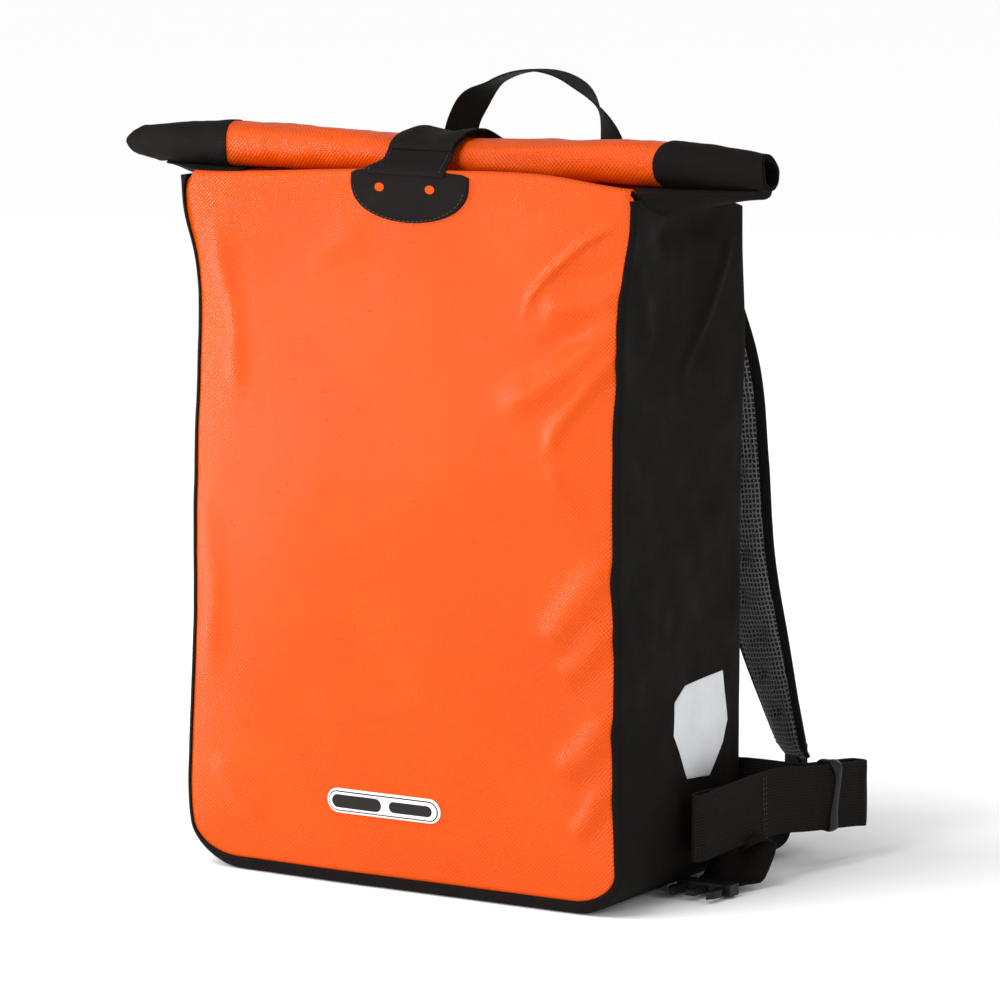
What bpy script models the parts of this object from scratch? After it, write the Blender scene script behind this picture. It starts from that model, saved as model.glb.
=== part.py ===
"""Roll-top courier rucksack: a box of coated fabric whose mouth is flattened, rolled forward and strapped down.

Metres, +Z up, front towards -Y, wearer's side towards +Y. The origin is the middle of the base, on the floor.
Every piece is one closed solid. Pieces that move hang from an empty that lies on their joint's axis.
"""

import math

import bmesh
import bpy
from mathutils import Matrix, Vector

# Driving dimensions
BAG_WIDTH = 0.36
BAG_DEPTH = 0.19
FRONT_TOP = 0.522
SIDE_TOP = 0.490
BACK_TOP = 0.500
CORNER_RADIUS = 0.045
MOUTH_WIDTH = 0.55
CLOTH = 0.002
GAP = 0.0003
FRONT_CROWN = 0.018
FRONT_LEAN = 0.013
CROWN_TOP = 0.460
LEAN_BOTTOM = 0.300

ROLL_CENTRE = Vector((0, -0.031, 0.5385))
ROLL_HALF_DEPTH = 0.026
ROLL_HALF_HEIGHT = 0.0155
ROLL_TURNS = 2.25
ROLL_PITCH = 0.0032
ROLL_ORANGE_WIDTH = 0.376
NECK_Y = ROLL_CENTRE.y + ROLL_HALF_DEPTH + 0.0014

WEB_WIDE = 0.050
WEB_NARROW = 0.025
WEB_SMALL = 0.020
WEB_THICK = 0.0018

# Derived places
HALF_WIDTH = BAG_WIDTH / 2
FRONT_Y = -BAG_DEPTH / 2
BACK_Y = BAG_DEPTH / 2
LEAN_FRONT_Y = FRONT_Y + FRONT_LEAN
ON_BACK = BACK_Y + GAP
RIDGE_Z = FRONT_TOP + 0.0005

# Joint axes
STRAP_HINGE = Vector((0, 0.0985, 0.5065))
TAB_HINGE = Vector((0, -0.0845, 0.5235))
HANDLE_HINGE = Vector((0, 0.0985, 0.5055))
SHOULDER_TOP = Vector((0.0850, 0.1140, 0.4560))
SHOULDER_BOTTOM = Vector((0.1520, 0.1030, 0.0135))
BELT_HINGE = Vector((0.1700, 0.0990, 0.0470))

ORANGE = (0.90, 0.15, 0.012)
BLACK_CLOTH = (0.022, 0.021, 0.020)
BLACK_WEB = (0.030, 0.028, 0.026)
MESH_GREY = (0.11, 0.11, 0.11)
SILVER = (0.62, 0.63, 0.64)
WHITE = (0.80, 0.80, 0.78)
BLACK_PLASTIC = (0.012, 0.012, 0.013)


def clear_scene():
    for obj in list(bpy.data.objects):
        bpy.data.objects.remove(obj)


def material(name, colour, roughness, metallic=0.0):
    made = bpy.data.materials.get(name)
    if made is None:
        made = bpy.data.materials.new(name)
        made.use_nodes = True
        shader = made.node_tree.nodes["Principled BSDF"]
        shader.inputs["Base Color"].default_value = (*colour, 1)
        shader.inputs["Roughness"].default_value = roughness
        shader.inputs["Metallic"].default_value = metallic
    return made


def coated_orange():
    return material("coated_orange", ORANGE, 0.35)


def coated_black():
    return material("coated_black", BLACK_CLOTH, 0.75)


def webbing():
    return material("webbing", BLACK_WEB, 0.8)


def spacer_mesh():
    return material("spacer_mesh", MESH_GREY, 0.9)


def plastic():
    return material("plastic", BLACK_PLASTIC, 0.4)


def reflective():
    return material("reflective", SILVER, 0.3, 0.2)


def badge_white():
    return material("badge_white", WHITE, 0.4)


def stiff_sheet():
    return material("stiff_sheet", (0.05, 0.05, 0.05), 0.5)


# Meshes


def add_object(name, bm, finish):
    bmesh.ops.recalc_face_normals(bm, faces=bm.faces)
    mesh = bpy.data.meshes.new(name)
    bm.to_mesh(mesh)
    bm.free()
    mesh.materials.append(finish)
    mesh.shade_smooth()
    mesh.set_sharp_from_angle(angle=math.radians(35))
    obj = bpy.data.objects.new(name, mesh)
    bpy.context.scene.collection.objects.link(obj)
    return obj


def slab(name, upper, lower, finish):
    """The closed solid between two matching grids of points."""
    rows, cols = len(upper), len(upper[0])
    bm = bmesh.new()
    top = [[bm.verts.new(p) for p in row] for row in upper]
    low = [[bm.verts.new(p) for p in row] for row in lower]
    for i in range(rows - 1):
        for j in range(cols - 1):
            bm.faces.new((top[i][j], top[i + 1][j], top[i + 1][j + 1], top[i][j + 1]))
            bm.faces.new((low[i][j], low[i][j + 1], low[i + 1][j + 1], low[i + 1][j]))
    rim = [(0, j) for j in range(cols)] + [(i, cols - 1) for i in range(1, rows)]
    rim += [(rows - 1, j) for j in range(cols - 2, -1, -1)] + [(i, 0) for i in range(rows - 2, 0, -1)]
    for (a, b), (c, d) in zip(rim, rim[1:] + rim[:1]):
        bm.faces.new((top[a][b], top[c][d], low[c][d], low[a][b]))
    return add_object(name, bm, finish)


def block(name, low, high, finish):
    """A box between two corners."""
    (x0, y0, z0), (x1, y1, z1) = low, high
    upper = [[(x0, y0, z1), (x1, y0, z1)], [(x0, y1, z1), (x1, y1, z1)]]
    lower = [[(x0, y0, z0), (x1, y0, z0)], [(x0, y1, z0), (x1, y1, z0)]]
    return slab(name, upper, lower, finish)


def hull(name, points, finish):
    """The convex solid around some points."""
    bm = bmesh.new()
    for p in points:
        bm.verts.new(p)
    bmesh.ops.convex_hull(bm, input=bm.verts)
    return add_object(name, bm, finish)


def smooth_route(points, count):
    """count points evenly along a Catmull-Rom curve through the given ones."""
    ends = [points[0] * 2 - points[1], *points, points[-1] * 2 - points[-2]]
    fine = []
    for a, b, c, d in zip(ends, ends[1:], ends[2:], ends[3:]):
        for k in range(12):
            t = k / 12
            fine.append(
                0.5 * (2 * b + (c - a) * t + (2 * a - 5 * b + 4 * c - d) * t**2 + (3 * b - a - 3 * c + d) * t**3)
            )
    fine.append(points[-1])
    along = [0.0]
    for a, b in zip(fine, fine[1:]):
        along.append(along[-1] + (b - a).length)
    route, k = [], 0
    for n in range(count):
        want = along[-1] * n / (count - 1)
        while k < len(fine) - 2 and along[k + 1] < want:
            k += 1
        share = (want - along[k]) / max(along[k + 1] - along[k], 1e-9)
        route.append(fine[k].lerp(fine[k + 1], min(1.0, share)))
    return route


def smooth_spans(points, per_span):
    """The same curve, with a fixed number of steps in each span."""
    ends = [points[0] * 2 - points[1], *points, points[-1] * 2 - points[-2]]
    route = []
    for a, b, c, d in zip(ends, ends[1:], ends[2:], ends[3:]):
        for k in range(per_span):
            t = k / per_span
            route.append(
                0.5 * (2 * b + (c - a) * t + (2 * a - 5 * b + 4 * c - d) * t**2 + (3 * b - a - 3 * c + d) * t**3)
            )
    return [*route, points[-1]]


def ribbon(name, centres, across, width, thick, finish, shift=0.0):
    """A flat strap along a route. across and width may be one value or one for each point.

    shift moves the strap along its own face normal, so that two straps can share a route.
    """
    count = len(centres)
    across = across if isinstance(across, list) else [across] * count
    width = width if isinstance(width, list) else [width] * count
    upper, lower = [], []
    for i, centre in enumerate(centres):
        along = (centres[min(i + 1, count - 1)] - centres[max(i - 1, 0)]).normalized()
        side = (across[i] - along * across[i].dot(along)).normalized()
        normal = along.cross(side)
        middle = centre + normal * shift
        half = side * width[i] / 2
        upper.append([middle - half + normal * thick / 2, middle + half + normal * thick / 2])
        lower.append([middle - half - normal * thick / 2, middle + half - normal * thick / 2])
    return slab(name, upper, lower, finish)


def cylinder(name, start, end, radius, finish, sides=16):
    """A round rod between two points."""
    axis = (end - start).normalized()
    first = axis.orthogonal().normalized()
    second = axis.cross(first)
    turns = [2 * math.pi * k / sides for k in range(sides)]
    rings = [[p + radius * (first * math.cos(a) + second * math.sin(a)) for a in turns] for p in (start, end)]
    return hull(name, rings[0] + rings[1], finish)


def cut(obj, cutter):
    """Takes a hidden cutter out of an object."""
    cutter.hide_render = True
    cutter.display_type = "WIRE"
    modifier = obj.modifiers.new("cut_" + cutter.name, "BOOLEAN")
    modifier.operation = "DIFFERENCE"
    modifier.object = cutter


def join_to(obj, other):
    """Makes another, overlapping shape part of an object."""
    other.hide_render = True
    other.display_type = "WIRE"
    modifier = obj.modifiers.new("join_" + other.name, "BOOLEAN")
    modifier.operation = "UNION"
    modifier.object = other


def pivot(name, place, parent=None):
    """An empty on a joint's axis, which the moving pieces hang from."""
    empty = bpy.data.objects.new(name, None)
    bpy.context.scene.collection.objects.link(empty)
    empty.location = place
    if parent is not None:
        empty.location = Vector(place) - parent["place"]
        empty.parent = parent
    empty["place"] = list(place)
    return empty


def hang(empty, *objects):
    """Parents pieces to a pivot without moving them."""
    for obj in objects:
        obj.parent = empty
        obj.matrix_parent_inverse = Matrix.Translation(-Vector(empty["place"]))


def place_in_frame(obj, origin, across, along):
    """Moves a piece modelled at the origin (x across, y along) to where it sits."""
    up = across.cross(along)
    frame = Matrix((across, along, up)).transposed().to_4x4()
    obj.matrix_world = Matrix.Translation(origin) @ frame


def mirrored(point, side):
    return Vector((point.x * side, point.y, point.z))


def side_name(side):
    return "right" if side > 0 else "left"


# The shape of the bag


def smooth_step(t):
    t = min(1.0, max(0.0, t))
    return t * t * (3 - 2 * t)


def front_lean(z):
    """How far the front leans back towards the roll at height z."""
    return FRONT_LEAN * smooth_step((z - LEAN_BOTTOM) / (CROWN_TOP - LEAN_BOTTOM))


def front_surface_y(x, z):
    """The outside of the filled front panel."""
    crown = math.sin(math.pi * min(1.0, z / CROWN_TOP)) * (1 - (x / HALF_WIDTH) ** 2)
    return FRONT_Y + front_lean(z) - FRONT_CROWN * crown


def half_width_at(z):
    """Half the panel's width, with its rounded bottom corners."""
    if z >= CORNER_RADIUS:
        return HALF_WIDTH
    rise = CORNER_RADIUS - z
    return HALF_WIDTH - CORNER_RADIUS + math.sqrt(CORNER_RADIUS**2 - rise**2)


CORNER_HEIGHTS = [CORNER_RADIUS * (1 - math.cos(math.radians(a))) for a in (0, 18, 36, 54, 72, 90)]
LEAN_HEIGHTS = [LEAN_BOTTOM, 0.34, 0.38, 0.42, CROWN_TOP, SIDE_TOP]


def panel_grid(heights, columns, surface_y):
    rows = []
    for z in CORNER_HEIGHTS + heights:
        half = half_width_at(z)
        xs = [half * (2 * j / (columns - 1) - 1) for j in range(columns)]
        rows.append([Vector((x, surface_y(x, z), z)) for x in xs])
    return rows


def front_panel():
    outer = panel_grid([0.10, 0.16, 0.22, 0.26, *LEAN_HEIGHTS, FRONT_TOP], 9, front_surface_y)
    inner = [[p + Vector((0, CLOTH, 0)) for p in row] for row in outer]
    return slab("front_panel", outer, inner, coated_orange())


def back_panel():
    outer = panel_grid([0.27, BACK_TOP], 3, lambda x, z: BACK_Y)
    inner = [[p - Vector((0, CLOTH, 0)) for p in row] for row in outer]
    return slab("back_panel", outer, inner, coated_black())


def side_and_base_strip():
    """One U-shaped strip makes both sides and the base between the two panels."""
    straight = [*reversed(LEAN_HEIGHTS), CORNER_RADIUS]
    bend = [math.radians(a) for a in (15, 30, 45, 60, 75, 90)]

    def run(inset):
        x_side, radius = HALF_WIDTH - inset, CORNER_RADIUS - inset
        x_bend = HALF_WIDTH - CORNER_RADIUS
        half = [(x_side, z) for z in straight]
        half += [(x_bend + radius * math.cos(a), CORNER_RADIUS - radius * math.sin(a)) for a in bend]
        return [(-x, z) for x, z in half] + [(x, z) for x, z in reversed(half)]

    def grid(inset):
        rows = []
        for (x, z), (_, outer_z) in zip(run(inset), run(0)):
            front = FRONT_Y + front_lean(outer_z) + CLOTH + GAP
            rows.append([Vector((x, front, z)), Vector((x, BACK_Y - CLOTH - GAP, z))])
        return rows

    return slab("side_and_base_strip", grid(0), grid(CLOTH), coated_black())


def throat_cover():
    """The cloth that closes the box's top, from the front rim up to the ridge under the roll and down to the back."""
    profile = [
        (LEAN_FRONT_Y + CLOTH + GAP, FRONT_TOP - 0.0025),
        (ROLL_CENTRE.y, FRONT_TOP - 0.0015),
        (NECK_Y, RIDGE_Z),
        (0.040, 0.5135),
        (BACK_Y, BACK_TOP + CLOTH + 3 * GAP),
    ]
    ends = (GAP - HALF_WIDTH, HALF_WIDTH - GAP)
    upper = [[Vector((x, y, z)) for y, z in profile] for x in ends]
    lower = [[p - Vector((0, 0, CLOTH)) for p in row] for row in upper]
    return slab("throat_cover", upper, lower, coated_orange())


def throat_ear(side):
    """The side strip's top, folded flat into an ear that carries the end of the roll."""
    root_x, tip_x = HALF_WIDTH + GAP, MOUTH_WIDTH / 2
    front, back = LEAN_FRONT_Y + CLOTH + GAP, BACK_Y - CLOTH - GAP
    root = [
        (front, SIDE_TOP + GAP),
        (back, SIDE_TOP + GAP),
        (back, BACK_TOP - GAP),
        (NECK_Y, FRONT_TOP - CLOTH),
        (front, FRONT_TOP - 2 * CLOTH),
    ]
    tip = [(NECK_Y - 0.018, 0.5180), (NECK_Y - 0.018, 0.5205), (NECK_Y, 0.5180), (NECK_Y, 0.5205)]
    points = [Vector((side * root_x, y, z)) for y, z in root] + [Vector((side * tip_x, y, z)) for y, z in tip]
    return hull(f"throat_ear_{side_name(side)}", points, coated_black())


# The rolled mouth


def roll_rows(stations, inset):
    """The spiral of flattened mouth cloth. It leaves the neck at the rear and winds over the top to the front."""
    steps = round(ROLL_TURNS * 16)
    rows = []
    for x, squash_y, squash_z in stations:
        row = []
        for k in range(steps + 1):
            turn = ROLL_TURNS * k / steps
            angle = 2 * math.pi * turn
            y = (ROLL_HALF_DEPTH - ROLL_PITCH * turn) * squash_y - inset
            z = (ROLL_HALF_HEIGHT - ROLL_PITCH * turn) * squash_z - inset
            row.append(ROLL_CENTRE + Vector((x, y * math.cos(angle), z * math.sin(angle))))
        rows.append(row)
    return rows


def rolled_piece(name, stations, thick, finish):
    return slab(name, roll_rows(stations, 0), roll_rows(stations, thick), finish)


def rolled_mouth():
    half = ROLL_ORANGE_WIDTH / 2
    pieces = [rolled_piece("rolled_mouth", [(-half, 1, 1), (half, 1, 1)], CLOTH, coated_orange())]
    for side in (-1, 1):
        stations = [
            (side * (half + GAP), 1, 1),
            (side * (half + 0.045), 0.90, 0.95),
            (side * MOUTH_WIDTH / 2, 0.62, 0.80),
        ]
        pieces.append(rolled_piece(f"rolled_mouth_end_{side_name(side)}", stations, 0.0013, coated_black()))
    return pieces


def mouth_stiffeners():
    """Two plastic strips, one in each lip, round which the mouth is rolled."""
    half_length, half_wide, thick = 0.180, 0.0110, 0.0022
    pieces = []
    for name, low in (("lip_stiffener_front", 0.0006), ("lip_stiffener_back", -0.0028)):
        corner = ROLL_CENTRE + Vector((-half_length, -half_wide, low))
        far = ROLL_CENTRE + Vector((half_length, half_wide, low + thick))
        pieces.append(block(name, corner, far, stiff_sheet()))
    return pieces


def throat_neck():
    """The flattened mouth where it rises out of the throat, behind the roll."""
    half = MOUTH_WIDTH / 2 - 0.004
    low = (-half, NECK_Y - 0.0009, RIDGE_Z + GAP)
    high = (half, NECK_Y + 0.0009, ROLL_CENTRE.z)
    return block("throat_neck", low, high, coated_orange())


# Closure


def closure_patch():
    """The D-shaped patch welded on the front, with two holes in it."""
    half_width, height, top = 0.050, 0.036, FRONT_TOP - 0.001
    xs = [half_width * 0.99 * math.sin(math.radians(a)) for a in range(-90, 91, 15)]
    outline = [(x, top - height * math.sqrt(1 - (x / half_width) ** 2)) for x in xs]
    face = LEAN_FRONT_Y - GAP
    upper = [[Vector((x, face - 0.0014, low)), Vector((x, face - 0.0014, top))] for x, low in outline]
    lower = [[p + Vector((0, 0.0014, 0)) for p in row] for row in upper]
    patch = slab("closure_patch", upper, lower, coated_black())
    for side in (-1, 1):
        centre = Vector((side * 0.022, face, top - 0.012))
        reach = Vector((0, 0.006, 0))
        name = f"patch_hole_{side_name(side)}"
        cut(patch, cylinder(name, centre - reach, centre + reach, 0.0032, coated_black()))
    return patch


def closure_tab():
    """The patch's neck, which goes up the front of the roll and over its top, under the strap."""
    route = [
        (-0.0845, 0.5240),
        (-0.0755, 0.5275),
        (-0.0675, 0.5325),
        (-0.0625, 0.5400),
        (-0.0595, 0.5455),
        (-0.0540, 0.5500),
        (-0.0450, 0.5542),
    ]
    centres = [Vector((0, y, z)) for y, z in route]
    return ribbon("closure_tab", centres, Vector((1, 0, 0)), 0.058, 0.0013, coated_black())


def closure_strap():
    """Hook-and-loop strap from the back, over the roll and onto the tab."""
    route = [
        (0.0975, 0.5080),
        (0.0800, 0.5165),
        (0.0300, 0.5375),
        (-0.0100, 0.5535),
        (-0.0220, 0.5570),
        (-0.0340, 0.5580),
        (-0.0460, 0.5566),
        (-0.0566, 0.5516),
    ]
    centres = [Vector((0, y, z)) for y, z in route]
    return ribbon("closure_strap", centres, Vector((1, 0, 0)), WEB_WIDE, 0.0015, webbing())


def closure_strap_anchor():
    half = WEB_WIDE / 2
    return block("closure_strap_anchor", (-half, ON_BACK, 0.455), (half, ON_BACK + 0.0015, 0.5045), webbing())


# Carrying handle


def carry_handle():
    """A loop of narrow webbing: flat against the back at its feet, flat on top of the hand at its top."""
    half_span, height = 0.068, 0.0850
    centres, across = [], []
    for a in range(0, 181, 12):
        angle = math.radians(a)
        centres.append(
            Vector((half_span * math.cos(angle), HANDLE_HINGE.y, 0.5065 + height * math.sin(angle) ** 0.85))
        )
        outward = Vector((math.cos(angle), 0, math.sin(angle)))
        twist = math.pi / 2 * smooth_step(min(a, 180 - a) / 70)
        across.append(outward * math.cos(twist) + Vector((0, 1, 0)) * math.sin(twist) * (1 if a <= 90 else -1))
    across = [v if v.dot(across[0]) >= 0 or v.y > 0 else -v for v in across]
    for before, after in zip(across, across[1:]):
        if before.dot(after) < 0:
            after.negate()
    return ribbon("carry_handle", centres, across, WEB_NARROW, WEB_THICK, webbing())


def handle_anchor(side):
    centre, half = 0.068 * side, WEB_NARROW / 2
    low = (centre - half, ON_BACK, 0.458)
    high = (centre + half, ON_BACK + WEB_THICK, 0.5040)
    return block(f"handle_anchor_{side_name(side)}", low, high, webbing())


# Back and carrying harness


def back_stiffener():
    inner = BACK_Y - CLOTH - GAP
    return block("back_stiffener", (-0.150, inner - CLOTH, 0.040), (0.150, inner, 0.465), stiff_sheet())


def shoulder_yoke():
    return block("shoulder_yoke", (-0.120, ON_BACK, 0.398), (0.120, ON_BACK + 0.0028, 0.452), coated_black())


def back_pad(side):
    """A padded foam strip beside the spine, rounded at its edges."""
    z_low, z_high, x_in, x_out, thick = 0.100, 0.385, 0.030, 0.118, 0.018
    upper, lower = [], []
    for k in range(9):
        z = z_low + (z_high - z_low) * k / 8
        end = min(1.0, min(k, 8 - k) / 1.0)
        rise = [0.35, 0.9, 1.0, 0.9, 0.35]
        xs = [x_in + (x_out - x_in) * j / 4 for j in range(5)]
        upper.append([Vector((side * x, ON_BACK + thick * r * (0.4 + 0.6 * end), z)) for x, r in zip(xs, rise)])
        lower.append([Vector((side * x, ON_BACK, z)) for x in xs])
    return slab(f"back_pad_{side_name(side)}", upper, lower, spacer_mesh())


PAD_ROUTE = [
    (0.0850, 0.1140, 0.4590),
    (0.0853, 0.1190, 0.4710),
    (0.0870, 0.1300, 0.4765),
    (0.0920, 0.1440, 0.4670),
    (0.1030, 0.1560, 0.4350),
    (0.1190, 0.1680, 0.3700),
    (0.1285, 0.1690, 0.3000),
    (0.1370, 0.1710, 0.2300),
    (0.1490, 0.1850, 0.1550),
    (0.1650, 0.1960, 0.0860),
]
PAD_WIDTHS = [0.054, 0.060, 0.066, 0.068, 0.068, 0.066, 0.062, 0.056, 0.050, 0.044]
FOAM_THICK = 0.0075
MESH_THICK = 0.0025


def shoulder_route(side, count):
    return smooth_route([Vector((x * side, y, z)) for x, y, z in PAD_ROUTE], count)


def shoulder_across(side, count):
    """The pad's width turns towards the arm on its way down, and most near its end."""
    turned = []
    for k in range(count):
        at = k / (count - 1)
        turned.append(Vector((side, -0.30 * at - 0.45 * max(0.0, (at - 0.75) / 0.25) ** 2, 0)))
    return turned


def shoulder_widths(count, trim):
    last = len(PAD_WIDTHS) - 1
    widths = []
    for k in range(count):
        at = last * k / (count - 1)
        low = min(int(at), last - 1)
        widths.append(PAD_WIDTHS[low] + (PAD_WIDTHS[low + 1] - PAD_WIDTHS[low]) * (at - low) - trim)
    return widths


def shoulder_strap(side):
    """The foam pad, and the mesh that lines the face that bears on the wearer."""
    count = 25
    route, across = shoulder_route(side, count), shoulder_across(side, count)
    widths, inset = shoulder_widths(count, 0), shoulder_widths(count, 0.016)
    name = side_name(side)
    foam = ribbon(
        f"shoulder_pad_{name}", route, across, widths, FOAM_THICK, coated_black(), -side * FOAM_THICK / 2
    )
    lift = side * (MESH_THICK / 2 + 3.5 * GAP)
    liner = ribbon(
        f"shoulder_mesh_{name}", route, across, inset, MESH_THICK, spacer_mesh(), lift
    )
    return foam, liner


def shoulder_root(side):
    """The strap's sewn-down root, which stays on the yoke."""
    places = ((0.0840, 0.1020, 0.4040), (0.0845, 0.1034, 0.4300), (0.0850, 0.1122, 0.4535))
    route = [Vector((x * side, y, z)) for x, y, z in places]
    return ribbon(f"shoulder_root_{side_name(side)}", route, Vector((side, 0, 0)), 0.054, 0.006, coated_black())


LOCK = Vector((0.1694, 0.1990, 0.0680))
LOCK_ACROSS = Vector((0.8, -0.6, 0))
LOCK_OUT = Vector((0.6, 0.8, 0))


def ladder_lock(side):
    """The adjuster at the end of the pad, with two slots."""
    name = side_name(side)
    half = Vector((0.0170, 0.0018, 0.0150))
    lock = block(f"ladder_lock_{name}", -half, half, plastic())
    helpers = []
    for number, lift in enumerate((0.0070, -0.0060)):
        middle = Vector((0, 0, lift))
        reach = Vector((0.0135, 0.01, 0.0028))
        helpers.append(block(f"lock_slot_{name}_{number}", middle - reach, middle + reach, plastic()))
        cut(lock, helpers[-1])
    for obj in (lock, *helpers):
        place_in_frame(obj, mirrored(LOCK, side), mirrored(LOCK_ACROSS, side) * side, mirrored(LOCK_OUT, side))
    return lock


LOWER_WEB = [
    # (place, across)
    ((0.1520, 0.1050, 0.0135), (1.0, 0.0, 0)),
    ((0.1525, 0.1180, 0.0130), (1.0, 0.0, 0)),
    ((0.1570, 0.1380, 0.0085), (0.95, -0.30, 0)),
    ((0.1640, 0.1560, 0.0070), (0.90, -0.40, 0)),
    ((0.1700, 0.1690, 0.0120), (0.85, -0.50, 0)),
    ((0.1710, 0.1800, 0.0270), (0.80, -0.60, 0)),
    ((0.1690, 0.1900, 0.0470), (0.80, -0.60, 0)),
    ((0.1674, 0.1963, 0.0640), (0.80, -0.60, 0)),
    ((0.1677, 0.1967, 0.0720), (0.80, -0.60, 0)),
    ((0.1694, 0.1990, 0.0751), (0.80, -0.60, 0)),
    ((0.1712, 0.2014, 0.0720), (0.80, -0.60, 0)),
    ((0.1716, 0.2020, 0.0640), (0.80, -0.60, 0)),
    ((0.1730, 0.2038, 0.0400), (0.80, -0.60, 0)),
    ((0.1751, 0.2066, 0.0230), (0.80, -0.60, 0)),
]


def lower_web(side):
    """Narrow webbing from the bag's bottom corner up through the adjuster, and its loose end."""
    route = smooth_spans([mirrored(Vector(p), side) for p, _ in LOWER_WEB], 2)
    across = smooth_spans([mirrored(Vector(w), side) for _, w in LOWER_WEB], 2)
    return ribbon(f"lower_web_{side_name(side)}", route, across, WEB_NARROW, 0.0014, webbing())


def lower_anchor(side):
    centre = 0.152 * side
    low = (centre - 0.016, ON_BACK, 0.0040)
    high = (centre + 0.016, ON_BACK + 0.0030, 0.0205)
    return block(f"lower_anchor_{side_name(side)}", low, high, coated_black())


# Side-release buckles


def buckle_female(name, scale):
    """The socket half: a flat sleeve, open at its mouth and at both sides."""
    half, length, thick, wall = 0.027 * scale, 0.036 * scale, 0.0115 * scale, 0.0018 * scale
    socket = block(name, (-half, 0, -thick / 2), (half, length, thick / 2), plastic())
    inside = thick / 2 - wall
    cut(socket, block(name + "_mouth", (-half + 2 * wall, 0.008 * scale, -inside), (half - 2 * wall, length * 2, inside), plastic()))
    window = block(name + "_window", (-half * 2, 0.012 * scale, -inside * 0.8), (half * 2, 0.026 * scale, inside * 0.8), plastic())
    cut(socket, window)
    return socket


def buckle_male(name, scale):
    """The plug half: a bar block with a middle guide."""
    half, block_length, thick = 0.025 * scale, 0.014 * scale, 0.0095 * scale
    plug = block(name, (-half, 0, -thick / 2), (half, block_length, thick / 2), plastic())
    guide = block(name + "_guide", (-0.004 * scale, block_length / 2, -thick / 4), (0.004 * scale, 0.036 * scale, thick / 4), plastic())
    join_to(plug, guide)
    return plug


def buckle_prong(name, scale, side):
    """A springy arm beside the guide, with its catch turned outwards."""
    outline = [(0.0145, 0.0148), (0.0150, 0.0340), (0.0170, 0.0400), (0.0215, 0.0330), (0.0225, 0.0240), (0.0195, 0.0225), (0.0195, 0.0148)]
    thick = 0.0060 * scale
    bm = bmesh.new()
    face = bm.faces.new([bm.verts.new((side * x * scale, y * scale, -thick / 2)) for x, y in outline])
    grown = bmesh.ops.extrude_face_region(bm, geom=[face])
    moved = [v for v in grown["geom"] if isinstance(v, bmesh.types.BMVert)]
    bmesh.ops.translate(bm, vec=(0, 0, thick), verts=moved)
    return add_object(name, bm, plastic())


# Waist belt

BELT_Z = 0.062
BELT_RUN = [
    (0.1730, 0.0992, 0.0620),
    (0.1850, 0.1012, 0.0622),
    (0.2000, 0.1070, 0.0610),
    (0.2085, 0.1140, 0.0590),
    (0.2133, 0.1231, 0.0572),
    (0.2187, 0.1485, 0.0550),
    (0.2241, 0.1739, 0.0535),
    (0.2264, 0.1847, 0.0522),
    (0.2332, 0.1891, 0.0515),
    (0.2377, 0.1823, 0.0520),
    (0.2354, 0.1715, 0.0532),
    (0.2300, 0.1461, 0.0550),
    (0.2246, 0.1207, 0.0570),
    (0.2170, 0.0850, 0.0605),
    (0.2125, 0.0500, 0.0598),
    (0.2085, 0.0140, 0.0572),
    (0.2055, -0.0060, 0.0552),
    (0.2010, -0.0110, 0.0548),
    (0.1970, -0.0050, 0.0548),
    (0.1980, 0.0130, 0.0546),
]
BELT_TAIL = [
    # (place, across, width)
    ((0.1995, 0.0300, 0.0540), (0.00, 0.00, 1.00), 0.050),
    ((0.2020, 0.0480, 0.0510), (-0.05, 0.00, 1.00), 0.050),
    ((0.2050, 0.0640, 0.0440), (-0.25, 0.05, 0.96), 0.048),
    ((0.2080, 0.0720, 0.0330), (-0.62, 0.10, 0.78), 0.046),
    ((0.2085, 0.0700, 0.0195), (-0.90, 0.10, 0.40), 0.046),
    ((0.2070, 0.0600, 0.0105), (-1.00, 0.08, 0.10), 0.046),
    ((0.2035, 0.0490, 0.0068), (-1.00, 0.03, 0.00), 0.044),
    ((0.1980, 0.0390, 0.0062), (-1.00, 0.00, 0.00), 0.040),
    ((0.1965, 0.0315, 0.0060), (-1.00, 0.00, 0.00), 0.035),
    ((0.1965, 0.0252, 0.0060), (-1.00, 0.00, 0.00), 0.034),
]
BELT_END = Vector((0.1965, 0.0235, 0.0062))


def belt_point(x, y, z, side):
    return Vector((x * side, y, z))


def waist_belt(side):
    """Wide webbing, stowed: out past the side of the bag, back on itself, then flat on the floor to its buckle."""
    places = [belt_point(*p, side) for p in BELT_RUN]
    places += [belt_point(*p, side) for p, _, _ in BELT_TAIL]
    across = [Vector((0, 0, 1))] * len(BELT_RUN)
    across += [belt_point(*w, side) for _, w, _ in BELT_TAIL]
    widths = [WEB_WIDE] * len(BELT_RUN) + [w for _, _, w in BELT_TAIL]
    per_span = 2
    spread = [widths[0]]
    for a, b in zip(widths, widths[1:]):
        spread += [a + (b - a) * (k + 1) / per_span for k in range(per_span)]
    name = f"waist_belt_{side_name(side)}"
    return ribbon(name, smooth_spans(places, per_span), smooth_spans(across, per_span), spread, WEB_THICK, webbing())


def belt_anchor(side):
    low_x, high_x = sorted((0.104 * side, 0.168 * side))
    half = WEB_WIDE / 2
    low, high = (low_x, ON_BACK, BELT_Z - half), (high_x, ON_BACK + WEB_THICK, BELT_Z + half)
    return block(f"belt_anchor_{side_name(side)}", low, high, webbing())


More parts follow.
